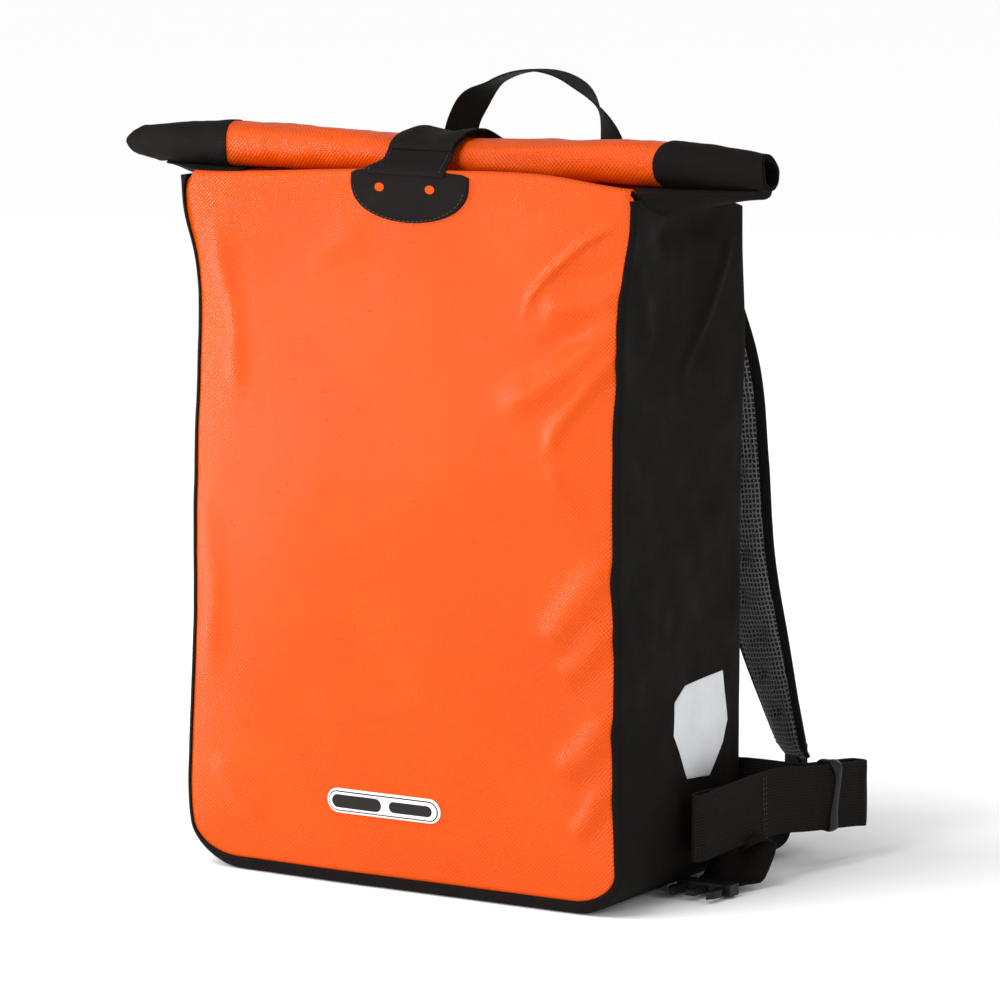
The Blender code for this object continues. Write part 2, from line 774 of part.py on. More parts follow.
def belt_keeper(side):
    """An elastic loop round both runs of the stowed belt."""
    name = f"belt_keeper_{side_name(side)}"
    centre = belt_point(0.22435, 0.1473, 0.0550, side)
    along = belt_point(0.208, 0.978, 0, side).normalized()
    out = Vector((along.y * side, -along.x * side, 0))
    half_in, half_high, wall, wide = 0.0085, 0.0278, 0.0014, 0.010
    ring = block(name, (-half_in - wall, -wide / 2, -half_high - wall), (half_in + wall, wide / 2, half_high + wall), webbing())
    hole = block(name + "_hole", (-half_in, -wide, -half_high), (half_in, wide, half_high), webbing())
    cut(ring, hole)
    for obj in (ring, hole):
        place_in_frame(obj, centre, out * side, along)
    return ring


# Trim


def side_reflector(side):
    """Eight-sided reflective patch low on the side."""
    outline = [
        (-0.0175, 0.1215, 0.1245),
        (-0.0135, 0.1100, 0.1468),
        (0.0050, 0.0873, 0.1562),
        (0.0426, 0.0834, 0.1575),
        (0.0655, 0.1040, 0.1585),
        (0.0720, 0.1180, 0.1520),
    ]
    x = side * (HALF_WIDTH + GAP)
    outer = side * (HALF_WIDTH + GAP + 0.0005)
    upper = [[Vector((outer, y, low)), Vector((outer, y, high))] for y, low, high in outline]
    lower = [[Vector((x, y, low)), Vector((x, y, high))] for y, low, high in outline]
    return slab(f"side_reflector_{side_name(side)}", upper, lower, reflective())


def front_badge():
    """A plain pill-shaped plate low on the front."""
    half_length, half_height, centre_z = 0.049, 0.0095, 0.066
    xs = [-half_length + half_height * (1 - math.cos(math.radians(a))) for a in (12, 45, 90)]
    xs += [-0.02, 0.02] + [-x for x in reversed(xs)]
    upper, lower = [], []
    for x in xs:
        past = max(0.0, abs(x) - (half_length - half_height))
        half = math.sqrt(half_height**2 - past**2)
        heights = [centre_z - half, centre_z, centre_z + half]
        lower.append([Vector((x, front_surface_y(x, z) - 0.0007, z)) for z in heights])
        upper.append([Vector((x, front_surface_y(x, z) - 0.0017, z)) for z in heights])
    return slab("front_badge", upper, lower, badge_white())


# Assembly


def build_bag():
    front_panel()
    back_panel()
    side_and_base_strip()
    throat_cover()
    back_stiffener()
    shoulder_yoke()
    closure_patch()
    closure_strap_anchor()
    front_badge()
    for side in (-1, 1):
        throat_ear(side)
        handle_anchor(side)
        back_pad(side)
        shoulder_root(side)
        lower_anchor(side)
        belt_anchor(side)
        side_reflector(side)


def build_closure():
    neck_pivot = pivot("neck_rise", (0, NECK_Y, RIDGE_Z))
    hang(neck_pivot, throat_neck())
    roll_pivot = pivot("roll_axis", ROLL_CENTRE)
    hang(roll_pivot, *rolled_mouth(), *mouth_stiffeners())
    hang(pivot("strap_hinge", STRAP_HINGE), closure_strap())
    hang(pivot("tab_hinge", TAB_HINGE), closure_tab())
    hang(pivot("handle_hinge", HANDLE_HINGE), carry_handle())


def build_shoulder(side):
    strap_pivot = pivot(f"shoulder_axis_{side_name(side)}", mirrored(SHOULDER_TOP, side))
    foam, liner = shoulder_strap(side)
    hang(strap_pivot, foam, liner, ladder_lock(side), lower_web(side))


def build_belt(side):
    belt_pivot = pivot(f"belt_hinge_{side_name(side)}", mirrored(BELT_HINGE, side))
    hang(belt_pivot, waist_belt(side))
    belt_keeper(side)
    across, along = Vector((1, 0, 0)), Vector((0, -1, 0))
    if side > 0:
        pieces = [buckle_male("waist_buckle_plug", 0.9), bpy.data.objects["waist_buckle_plug_guide"]]
        for arm in (-1, 1):
            pieces.append(buckle_prong("waist_prong_" + ("outer" if arm > 0 else "inner"), 0.9, arm))
    else:
        pieces = [buckle_female("waist_buckle_socket", 0.9)]
        pieces += [bpy.data.objects["waist_buckle_socket" + helper] for helper in ("_mouth", "_window")]
    for piece in pieces:
        place_in_frame(piece, mirrored(BELT_END, side), across, along)


clear_scene()
build_bag()
build_closure()
for strap_side in (-1, 1):
    build_shoulder(strap_side)
    build_belt(strap_side)
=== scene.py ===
"""The looks of the roll-top rucksack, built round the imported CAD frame. Metres, +Z up, front towards -Y."""

import math

import bpy
import numpy as np
from mathutils import Matrix, Vector, noise


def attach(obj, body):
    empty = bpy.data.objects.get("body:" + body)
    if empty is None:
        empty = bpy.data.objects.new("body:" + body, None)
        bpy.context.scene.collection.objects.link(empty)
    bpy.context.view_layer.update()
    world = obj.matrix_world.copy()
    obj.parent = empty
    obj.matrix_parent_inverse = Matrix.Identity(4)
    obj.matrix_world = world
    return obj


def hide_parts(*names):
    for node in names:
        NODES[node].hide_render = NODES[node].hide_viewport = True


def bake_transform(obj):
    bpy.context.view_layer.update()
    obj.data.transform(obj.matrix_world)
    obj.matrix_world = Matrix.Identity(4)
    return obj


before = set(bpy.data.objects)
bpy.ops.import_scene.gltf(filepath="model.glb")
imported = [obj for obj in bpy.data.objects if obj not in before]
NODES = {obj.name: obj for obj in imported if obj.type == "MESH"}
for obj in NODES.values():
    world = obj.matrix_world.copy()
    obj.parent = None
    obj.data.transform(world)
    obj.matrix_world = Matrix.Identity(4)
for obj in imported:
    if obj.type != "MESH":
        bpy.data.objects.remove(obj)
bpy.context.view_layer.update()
SIDES = (("left", -1), ("right", 1))

# ---------------------------------------------------------------- camera, light and floor


def add_camera():
    data = bpy.data.cameras.new("camera")
    data.lens = 206.84
    data.sensor_width = 36
    data.clip_end = 60
    camera = bpy.data.objects.new("camera", data)
    bpy.context.scene.collection.objects.link(camera)
    right, up = Vector((0.85007, 0.52668, 0)), Vector((-0.07790, 0.12573, 0.98900))
    back = right.cross(up)
    turn = Matrix((right, up, back)).transposed().to_4x4()
    camera.matrix_world = Matrix.Translation((2.2358, -3.5631, 0.9081)) @ turn
    bpy.context.scene.camera = camera


def add_area(name, place, target, size, power):
    data = bpy.data.lights.new(name, "AREA")
    data.shape = "RECTANGLE"
    data.size, data.size_y = size
    data.energy = power
    lamp = bpy.data.objects.new(name, data)
    bpy.context.scene.collection.objects.link(lamp)
    lamp.location = place
    lamp.rotation_mode = "QUATERNION"
    lamp.rotation_quaternion = (Vector(target) - Vector(place)).to_track_quat("-Z", "Y")


def add_studio():
    scene = bpy.context.scene
    scene.view_settings.view_transform = "Standard"
    world = bpy.data.worlds.new("studio")
    world.use_nodes = True
    world.node_tree.nodes["Background"].inputs["Color"].default_value = (1, 1, 1, 1)
    world.node_tree.nodes["Background"].inputs["Strength"].default_value = 0.44
    scene.world = world
    sun = bpy.data.lights.new("sky_panel", "SUN")
    sun.energy = 2.25
    sun.angle = math.radians(38)
    lamp = bpy.data.objects.new("sky_panel", sun)
    scene.collection.objects.link(lamp)
    lamp.rotation_mode = "QUATERNION"
    lamp.rotation_quaternion = Vector((0.30, 0.62, -0.95)).to_track_quat("-Z", "Y")
    add_area("left_strip", (-2.0, -0.62, 0.42), (-0.1, -0.1, 0.3), (0.40, 1.5), 42)
    add_area("front_box", (0.10, -3.4, 0.75), (0.05, 0, 0.3), (0.8, 1.0), 58)
    add_area("right_fill", (2.6, -0.4, 1.1), (0.1, 0.05, 0.3), (0.8, 1.6), 13)
    add_area("back_fill", (0.6, 2.8, 1.8), (0, 0, 0.35), (1.8, 1.4), 16)
    mesh = bpy.data.meshes.new("floor")
    mesh.from_pydata([(-45, -45, 0), (45, -45, 0), (45, 45, 0), (-45, 45, 0)], [], [(0, 1, 2, 3)])
    floor = bpy.data.objects.new("floor", mesh)
    scene.collection.objects.link(floor)
    paper = bpy.data.materials.new("paper")
    paper.use_nodes = True
    shader = paper.node_tree.nodes["Principled BSDF"]
    shader.inputs["Base Color"].default_value = (0.99, 0.99, 0.99, 1)
    shader.inputs["Roughness"].default_value = 0.85
    mesh.materials.append(paper)


add_camera()
add_studio()

# ---------------------------------------------------------------- materials


class Look:
    """A Principled material with helpers for building its textures."""

    def __init__(self, name, rough, metallic=0.0, coords="UV"):
        self.mat = bpy.data.materials.new(name)
        self.mat.use_nodes = True
        self.tree = self.mat.node_tree
        self.shader = self.tree.nodes["Principled BSDF"]
        self.shader.inputs["Roughness"].default_value = rough
        self.shader.inputs["Metallic"].default_value = metallic
        self.coords = self.node("ShaderNodeTexCoord").outputs[coords]

    def node(self, kind, **settings):
        made = self.tree.nodes.new(kind)
        for key, value in settings.items():
            setattr(made, key, value)
        return made

    def link(self, out, into):
        if isinstance(out, (int, float)):
            into.default_value = out
        elif isinstance(out, tuple):
            into.default_value = (*out, 1) if len(out) == 3 else out
        else:
            self.tree.links.new(out, into)

    def math(self, how, a, b=0.0):
        made = self.node("ShaderNodeMath", operation=how)
        self.link(a, made.inputs[0])
        self.link(b, made.inputs[1])
        return made.outputs[0]

    def axes(self):
        split = self.node("ShaderNodeSeparateXYZ")
        self.link(self.coords, split.inputs[0])
        return split.outputs

    def noise(self, scale, detail=3.0, rough=0.5, stretch=None):
        made = self.node("ShaderNodeTexNoise")
        made.inputs["Scale"].default_value = scale
        made.inputs["Detail"].default_value = detail
        made.inputs["Roughness"].default_value = rough
        source = self.coords
        if stretch:
            mapping = self.node("ShaderNodeMapping")
            mapping.inputs["Scale"].default_value = stretch
            self.link(source, mapping.inputs[0])
            source = mapping.outputs[0]
        self.link(source, made.inputs["Vector"])
        return made.outputs["Fac"]

    def wave(self, coordinate, pitch, shift=0.0):
        turned = self.math("MULTIPLY_ADD", coordinate, 2 * math.pi / pitch)
        turned.node.inputs[2].default_value = shift
        return self.math("SINE", turned)

    def ramp(self, value, low, high, from_colour, to_colour):
        made = self.node("ShaderNodeMapRange")
        self.link(value, made.inputs["Value"])
        made.inputs["From Min"].default_value = low
        made.inputs["From Max"].default_value = high
        mix = self.node("ShaderNodeMix", data_type="RGBA")
        self.link(made.outputs[0], mix.inputs["Factor"])
        self.link(from_colour, mix.inputs[6])
        self.link(to_colour, mix.inputs[7])
        return mix.outputs[2]

    def span(self, value, low, high, to_low, to_high):
        made = self.node("ShaderNodeMapRange")
        self.link(value, made.inputs["Value"])
        for key, number in zip(("From Min", "From Max", "To Min", "To Max"), (low, high, to_low, to_high)):
            made.inputs[key].default_value = number
        return made.outputs[0]

    def colour(self, out):
        self.link(out, self.shader.inputs["Base Color"])

    def rough(self, out):
        self.link(out, self.shader.inputs["Roughness"])

    def bump(self, height, distance, strength=1.0):
        made = self.node("ShaderNodeBump")
        made.inputs["Strength"].default_value = strength
        made.inputs["Distance"].default_value = distance
        self.link(height, made.inputs["Height"])
        last = getattr(self, "last_bump", None)
        if last is not None:
            self.link(last, made.inputs["Normal"])
        self.last_bump = made.outputs[0]
        self.link(self.last_bump, self.shader.inputs["Normal"])


def coated_tarpaulin(name="tarpaulin"):
    """Glossy coated cloth: a fine diamond weave shows through the coat, with faint scuffs."""
    look = Look(name, 0.36)
    u, v = look.axes()[0], look.axes()[1]
    weave = look.math("MULTIPLY", look.wave(u, 0.0032), look.wave(v, 0.0032))
    cloudy = look.noise(9, 4, 0.55)
    scuff = look.noise(60, 5, 0.7, (1, 2.5, 1))
    shade = look.ramp(cloudy, 0.3, 0.7, (0.55, 0.057, 0.0), (0.62, 0.068, 0.0))
    tint = look.node("ShaderNodeMix", data_type="RGBA", blend_type="MULTIPLY")
    tint.inputs["Factor"].default_value = 1.0
    look.link(shade, tint.inputs[6])
    look.link(look.ramp(weave, -0.8, 0.8, (0.93, 0.90, 0.9), (1.0, 1.0, 1.0)), tint.inputs[7])
    look.colour(tint.outputs[2])
    look.rough(look.span(scuff, 0.35, 0.75, 0.27, 0.38))
    look.bump(look.noise(34, 3, 0.5), 0.0010, 0.30)
    look.bump(weave, 0.00022, 0.8)
    look.shader.inputs["Specular IOR Level"].default_value = 0.15
    return look.mat


def coarse_cloth(name, base=(0.0036, 0.0028, 0.0025), light=(0.0108, 0.0085, 0.0074), pitch=0.0016, coords="UV"):
    """Heavy plain-woven nylon with a matte coat."""
    look = Look(name, 0.72, coords=coords)
    u, v = look.axes()[0], look.axes()[1]
    weave = look.math("MULTIPLY", look.wave(u, pitch), look.wave(v, pitch))
    fuzz = look.noise(900, 2, 0.6)
    mixed = look.math("MULTIPLY_ADD", weave, 0.22)
    look.link(fuzz, mixed.node.inputs[2])
    look.colour(look.ramp(mixed, 0.25, 0.8, base, light))
    look.rough(look.span(look.noise(25, 4, 0.6), 0.3, 0.7, 0.60, 0.80))
    look.bump(look.noise(40, 3, 0.5), 0.0010, 0.25)
    look.bump(mixed, 0.0004, 0.7)
    look.shader.inputs["Specular IOR Level"].default_value = 0.035
    look.shader.inputs["Sheen Weight"].default_value = 0.006
    look.shader.inputs["Sheen Roughness"].default_value = 0.45
    return look.mat


def ribbed_webbing(name, rib=0.0017, along=0.0024):
    """Woven webbing: fine ribs run along it and the weft crosses them; u is across and v is along, in metres."""
    look = Look(name, 0.6)
    u, v = look.axes()[0], look.axes()[1]
    ribs = look.wave(u, rib)
    weft = look.wave(v, along, 0.6)
    cross = look.math("MULTIPLY", ribs, weft)
    height = look.math("ADD", look.math("MULTIPLY", ribs, 0.55), look.math("MULTIPLY", cross, 0.55))
    fuzz = look.noise(1100, 2, 0.6)
    mixed = look.math("ADD", look.math("MULTIPLY", height, 0.3), fuzz)
    look.colour(look.ramp(mixed, 0.2, 0.95, (0.0042, 0.0034, 0.0031), (0.0140, 0.0116, 0.0103)))
    look.rough(look.span(fuzz, 0.3, 0.7, 0.52, 0.72))
    look.bump(height, 0.0005, 0.85)
    look.shader.inputs["Specular IOR Level"].default_value = 0.045
    look.shader.inputs["Sheen Weight"].default_value = 0.006
    look.shader.inputs["Sheen Roughness"].default_value = 0.4
    return look.mat


def knitted_mesh(name, coords="UV", scale=330):
    """Grey three-dimensional knitted mesh: dark cells with pale threads between them."""
    look = Look(name, 0.75, coords=coords)
    mapping = look.node("ShaderNodeMapping")
    mapping.inputs["Scale"].default_value = (1.0, 0.80, 1.0)
    look.link(look.coords, mapping.inputs[0])
    cells = look.node("ShaderNodeTexVoronoi", feature="DISTANCE_TO_EDGE")
    cells.inputs["Scale"].default_value = scale
    cells.inputs["Randomness"].default_value = 0.22
    look.link(mapping.outputs[0], cells.inputs["Vector"])
    edge = cells.outputs["Distance"]
    thread = look.span(edge, 0.06, 0.24, 1.0, 0.0)
    fuzz = look.noise(1500, 2, 0.5)
    body = look.math("MULTIPLY", thread, look.span(fuzz, 0.2, 0.8, 0.65, 1.0))
    look.colour(look.ramp(body, 0.0, 1.0, (0.009, 0.009, 0.010), (0.30, 0.30, 0.31)))
    look.bump(thread, 0.0013, 1.0)
    look.bump(fuzz, 0.0003, 0.4)
    return look.mat


def moulded_plastic(name):
    look = Look(name, 0.42, coords="Object")
    fine = look.noise(700, 3, 0.6)
    look.colour(look.ramp(look.noise(30, 3, 0.5), 0.3, 0.7, (0.005, 0.005, 0.005), (0.011, 0.0105, 0.0105)))
    look.rough(look.span(fine, 0.3, 0.7, 0.34, 0.52))
    look.bump(fine, 0.0002, 0.4)
    look.shader.inputs["Specular IOR Level"].default_value = 0.2
    return look.mat


def glass_bead_film(name):
    """Silver retroreflective film with a fine grain and faint clouding."""
    look = Look(name, 0.42, 0.15, coords="Object")
    grain = look.noise(1300, 2, 0.7)
    cloud = look.noise(38, 3, 0.5)
    mixed = look.math("ADD", look.math("MULTIPLY", grain, 0.45), look.math("MULTIPLY", cloud, 0.55))
    look.colour(look.ramp(mixed, 0.32, 0.68, (0.57, 0.58, 0.60), (0.71, 0.72, 0.745)))
    look.rough(look.span(grain, 0.3, 0.7, 0.36, 0.52))
    look.bump(grain, 0.0002, 0.35)
    return look.mat


def moulded_badge(name):
    look = Look(name, 0.35, coords="Object")
    fine = look.noise(500, 2, 0.5)
    look.colour(look.ramp(fine, 0.2, 0.8, (0.76, 0.76, 0.75), (0.84, 0.84, 0.83)))
    look.rough(look.span(fine, 0.3, 0.7, 0.28, 0.42))
    look.bump(fine, 0.0001, 0.3)
    return look.mat


def thread(name, colour):
    look = Look(name, 0.6, coords="Object")
    twist = look.noise(2600, 2, 0.5)
    look.colour(look.ramp(twist, 0.3, 0.7, tuple(c * 0.7 for c in colour), colour))
    look.bump(twist, 0.0002, 0.6)
    return look.mat


ORANGE = coated_tarpaulin()
CLOTH = coarse_cloth("heavy_nylon")
CLOTH_SOLID = coarse_cloth("heavy_nylon_by_place", coords="Object")
FELT = coarse_cloth("coated_patch", (0.0058, 0.0044, 0.0040), (0.0140, 0.0108, 0.0096), 0.0013)
WEBBING = ribbed_webbing("webbing")
BELT_WEB = ribbed_webbing("belt_webbing", 0.0022, 0.0026)
MESH_UV = knitted_mesh("spacer_mesh")
MESH_SOLID = knitted_mesh("spacer_mesh_by_place", coords="Object")
PLASTIC = moulded_plastic("moulded_plastic")
FILM = glass_bead_film("reflective_film")
BADGE = moulded_badge("badge")
BADGE_DARK = moulded_plastic("badge_inlay")
THREAD = thread("black_thread", (0.024, 0.022, 0.021))
SHEET = moulded_plastic("stiff_sheet")

# ---------------------------------------------------------------- mesh helpers


def smooth(t):
    t = np.clip(t, 0, 1)
    return t * t * (3 - 2 * t)


def bell(t):
    """1 at 0, falling smoothly to nearly 0 beyond 2."""
    return np.exp(-(t**2))


def lump(points, size, seed=0.0):
    """Smooth noise from -1 to 1 at each point, with features of about that size."""
    flat = np.asarray(points, float).reshape(-1, 3) / size
    values = [noise.noise((x + seed, y - seed, z + 2 * seed)) for x, y, z in flat]
    return np.array(values).reshape(np.asarray(points).shape[:-1])


LINE_TAPER = 0.25


def along_line(x, z, line, width):
    """1 on a line of (x, z) points and 0 away from it, fading towards its ends."""
    line = np.array(line, float)
    lengths = np.linalg.norm(np.diff(line, axis=0), axis=1)
    total = lengths.sum()
    best = np.full(x.shape, 1e9)
    place = np.zeros(x.shape)
    start = 0.0
    for (ax, az), (bx, bz), length in zip(line, line[1:], lengths):
        t = np.clip(((x - ax) * (bx - ax) + (z - az) * (bz - az)) / length**2, 0, 1)
        distance = np.hypot(x - ax - t * (bx - ax), z - az - t * (bz - az))
        nearer = distance < best
        best = np.where(nearer, distance, best)
        place = np.where(nearer, (start + t * length) / total, place)
        start += length
    fade = smooth(place / LINE_TAPER) * smooth((1 - place) / LINE_TAPER)
    return np.exp(-((best / width) ** 2)) * fade


def curve(points, count):
    """count points evenly along a smooth curve through the given ones (any number of columns)."""
    points = np.array(points, float)
    padded = np.vstack([2 * points[0] - points[1], points, 2 * points[-1] - points[-2]])
    fine = []
    for a, b, c, d in zip(padded, padded[1:], padded[2:], padded[3:]):
        for t in np.linspace(0, 1, 24, endpoint=False):
            bend, twist = 2 * a - 5 * b + 4 * c - d, 3 * b - a - 3 * c + d
            fine.append(0.5 * (2 * b + (c - a) * t + bend * t**2 + twist * t**3))
    fine = np.array([*fine, points[-1]])
    along = np.concatenate([[0], np.cumsum(np.linalg.norm(np.diff(fine[:, :3], axis=0), axis=1))])
    at = np.linspace(0, along[-1], count)
    return np.stack([np.interp(at, along, fine[:, k]) for k in range(fine.shape[1])], axis=1)


def dense(corners, count):
    """Points along the straight lines between corners, count to each."""
    return np.concatenate([np.linspace(a, b, count) for a, b in zip(corners, corners[1:])])


def facing_out(rings, ahead):
    """The rings, turned round if their lofted surface would face inwards; ahead is the way the first one travels."""
    round_way = np.cross(rings[0, 1] - rings[0, 0], rings[0, -1] - rings[0, 0])
    return rings[:, ::-1] if np.dot(round_way, ahead) > 0 else rings


def normals_of(grid):
    du = np.gradient(grid, axis=1)
    dv = np.gradient(grid, axis=0)
    n = np.cross(du, dv)
    return n / np.maximum(np.linalg.norm(n, axis=-1, keepdims=True), 1e-12)


def arc_uv(grid, wrap=False):
    """Texture coordinates in metres: u along a row and v down the columns."""
    if wrap:
        grid = np.concatenate([grid, grid[:, :1]], axis=1)
    du = np.linalg.norm(np.diff(grid, axis=1), axis=-1)
    dv = np.linalg.norm(np.diff(grid, axis=0), axis=-1)
    u = np.concatenate([np.zeros((len(grid), 1)), np.cumsum(du, axis=1)], axis=1)
    u = u - u.mean(axis=1, keepdims=True)
    v = np.concatenate([[0], np.cumsum(dv.mean(axis=1))])
    return u, np.repeat(v[:, None], grid.shape[1], axis=1)


def finish_mesh(name, verts, faces, uvs, material, body=None, slot=None, replaces=()):
    mesh = bpy.data.meshes.new(name)
    mesh.from_pydata([tuple(p) for p in verts], [], faces)
    if uvs is not None:
        layer = mesh.uv_layers.new(name="metres")
        flat = np.array([uv for face in uvs for uv in face], np.float32).ravel()
        layer.data.foreach_set("uv", flat)
    mesh.materials.append(material)
    mesh.shade_smooth()
    mesh.set_sharp_from_angle(angle=math.radians(50))
    obj = bpy.data.objects.new(name, mesh)
    bpy.context.scene.collection.objects.link(obj)
    if body:
        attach(obj, body)
    if replaces:
        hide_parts(*replaces)
    return obj


def sewn(slot, *nodes, body="bag"):
    """What a piece rides on, a slot name, and the CAD nodes that it stands for."""
    return {"body": body, "slot": slot, "replaces": nodes}


def quads(rows, cols, base=0, around=False, closed=False):
    """Faces between rows of points; around joins each row's ends, and closed joins the last row to the first."""
    faces = []
    for i in range(rows if closed else rows - 1):
        this, after = base + i * cols, base + (i + 1) % rows * cols
        for j in range(cols if around else cols - 1):
            k = (j + 1) % cols
            faces.append((this + j, this + k, after + k, after + j))
    return faces


def shell(name, outer, thick, material, **ties):
    """A closed cloth of some thickness behind the outer grid of points."""
    outer = np.asarray(outer, float)
    inner = outer - normals_of(outer) * thick
    rows, cols = outer.shape[:2]
    verts = np.concatenate([outer.reshape(-1, 3), inner.reshape(-1, 3)])
    u, v = arc_uv(outer)
    uv_of = np.stack([u.ravel(), v.ravel()], axis=1)
    uv_of = np.concatenate([uv_of, uv_of])
    size = rows * cols
    faces = quads(rows, cols) + [face[::-1] for face in quads(rows, cols, size)]
    rim = list(range(cols)) + [i * cols + cols - 1 for i in range(1, rows)]
    rim += [(rows - 1) * cols + j for j in range(cols - 2, -1, -1)] + [i * cols for i in range(rows - 2, 0, -1)]
    for a, b in zip(rim, rim[1:] + rim[:1]):
        faces.append((b, a, a + size, b + size))
    uvs = [[uv_of[k] for k in face] for face in faces]
    return finish_mesh(name, verts, faces, uvs, material, **ties)


def tube(name, rings, material, **ties):
    """A closed solid lofted through rings of points, with flat ends."""
    rings = np.asarray(rings, float)
    count, sides = rings.shape[:2]
    u, v = arc_uv(rings, wrap=True)
    faces = quads(count, sides, around=True)
    uvs = []
    for i in range(count - 1):
        for j in range(sides):
            uvs.append([(u[a, b], v[a, b]) for a, b in ((i, j), (i, j + 1), (i + 1, j + 1), (i + 1, j))])
    first, last = list(range(sides))[::-1], [(count - 1) * sides + j for j in range(sides)]
    for cap, row in ((first, 0), (last, count - 1)):
        faces.append(tuple(cap))
        uvs.append([(u[row, k % sides], v[row, k % sides]) for k in cap])
    return finish_mesh(name, rings.reshape(-1, 3), faces, uvs, material, **ties)


def frames_along(route, across):
    """The tangent, side and normal at each point of a route."""
    route = np.asarray(route, float)
    tangent = np.gradient(route, axis=0)
    tangent /= np.linalg.norm(tangent, axis=1, keepdims=True)
    across = np.broadcast_to(np.asarray(across, float), route.shape)
    side = across - tangent * (across * tangent).sum(axis=1, keepdims=True)
    side /= np.linalg.norm(side, axis=1, keepdims=True)
    return tangent, side, np.cross(tangent, side)


EDGE_THINNING = 0.35


def band_profile(width, thick, count):
    """Points round a flat strap's section, which thins at its two edges."""
    us = np.linspace(-1, 1, count)
    top = [(u * width / 2, thick / 2 * (1 - EDGE_THINNING * abs(u) ** 8)) for u in us]
    low = [(u * width / 2, -thick / 2 * (1 - EDGE_THINNING * abs(u) ** 8)) for u in us[::-1]]
    return np.array(top + low)


def strap(name, route, across, width, thick, material, columns, wobble=0.0, **ties):
    """A flat strap lofted along a route."""
    route = np.asarray(route, float)
    tangent, side, normal = frames_along(route, across)
    width = np.broadcast_to(np.asarray(width, float), (len(route),))
    rings = []
    for p, s, n, w in zip(route, side, normal, width):
        section = band_profile(w, thick, columns)
        rings.append(p + section[:, :1] * s + section[:, 1:] * n)
    rings = np.array(rings)
    if wobble:
        rings += normal[:, None, :] * (lump(rings, 0.035, 3.1) * wobble)[..., None]
    return tube(name, facing_out(rings, tangent[0]), material, **ties)


STITCH, STITCH_GAP = 0.0026, 0.0012
STITCH_WIDE, STITCH_HIGH = 0.0007, 0.0005


def stitches(name, line, lift, body, slot):
    """A row of sewn stitches along a line. lift is the surface's outward direction, one or one for each point."""
    line = np.asarray(line, float)
    lift = np.broadcast_to(np.asarray(lift, float), line.shape)
    along = np.concatenate([[0], np.cumsum(np.linalg.norm(np.diff(line, axis=0), axis=1))])
    step = STITCH + STITCH_GAP
    verts, faces = [], []
    for k in range(int(along[-1] / step)):
        def at(distance):
            return np.array([np.interp(distance, along, line[:, c]) for c in range(3)])

        start, end = at(k * step), at(k * step + STITCH)
        up = np.array([np.interp(k * step, along, lift[:, c]) for c in range(3)])
        up /= np.linalg.norm(up)
        side = np.cross(end - start, up)
        side /= max(np.linalg.norm(side), 1e-9)
        base = len(verts)
        for t, share in ((0.0, 0.35), (0.3, 1.0), (0.7, 1.0), (1.0, 0.35)):
            p = start + (end - start) * t
            for a in range(6):
                angle = math.pi * 2 * a / 6
                wide, high = math.cos(angle) * STITCH_WIDE / 2 * share, math.sin(angle) * STITCH_HIGH * share
                verts.append(p + side * wide + up * high)
        faces += quads(4, 6, base, around=True)
        faces.append(tuple(base + a for a in range(5, -1, -1)))
        faces.append(tuple(base + 18 + a for a in range(6)))
    return finish_mesh(name, verts, faces, None, THREAD, body=body, slot=slot)


def refinish(node, material, bevel=0.0):
    """A better material on a CAD node whose shape is right, with its edges eased when a bevel is given."""
    obj = NODES[node]
    obj.data.materials.clear()
    obj.data.materials.append(material)
    if bevel:
        ease = obj.modifiers.new("ease", "BEVEL")
        ease.width = bevel
        ease.segments = 3
        ease.limit_method = "ANGLE"
        ease.angle_limit = math.radians(35)


# ---------------------------------------------------------------- the bag's own shape

HALF_WIDTH = 0.18
CORNER = 0.034
FRONT_Y, BACK_Y = -0.095, 0.095
SEAM_SIDE, SEAM_BOTTOM = 0.0045, 0.0105
# Heights of the front's top row, of the strip's top at its front lip, and of the strip's top before it is drawn up.
FRONT_TOP, LIP_TOP, STRIP_TOP = 0.5205, 0.5195, 0.4905
# Cloth thicknesses.
COAT, LINING, THICK_CLOTH = 0.0010, 0.0012, 0.0014

FOLDS = [
    # (points as x, z), width, height
    ([(0.182, 0.503), (0.152, 0.487), (0.124, 0.464), (0.108, 0.446), (0.100, 0.425)], 0.0035, 0.0039),
    ([(0.186, 0.449), (0.160, 0.444), (0.112, 0.437)], 0.0100, 0.0058),
    ([(0.186, 0.440), (0.150, 0.402), (0.118, 0.378), (0.082, 0.366)], 0.0115, 0.0074),
    ([(0.186, 0.415), (0.160, 0.385), (0.136, 0.352), (0.130, 0.325)], 0.0070, 0.0058),
    ([(0.130, 0.330), (0.142, 0.305), (0.158, 0.290)], 0.0050, 0.0023),
    ([(0.182, 0.262), (0.160, 0.235), (0.128, 0.190)], 0.0130, 0.0070),
    ([(0.182, 0.215), (0.160, 0.188), (0.140, 0.170)], 0.0100, 0.0047),
    ([(0.182, 0.150), (0.160, 0.120), (0.138, 0.100)], 0.0110, 0.0058),
    ([(0.176, 0.100), (0.165, 0.075), (0.150, 0.055)], 0.0080, 0.0043),
    ([(-0.172, 0.492), (-0.160, 0.450), (-0.146, 0.400), (-0.138, 0.350)], 0.0090, 0.0038),
    ([(-0.172, 0.300), (-0.160, 0.220), (-0.168, 0.140)], 0.0120, 0.0029),
    ([(-0.165, 0.090), (-0.140, 0.060), (-0.110, 0.045)], 0.0100, 0.0022),
    ([(-0.035, 0.492), (-0.060, 0.470), (-0.090, 0.455)], 0.0120, 0.0014),
]
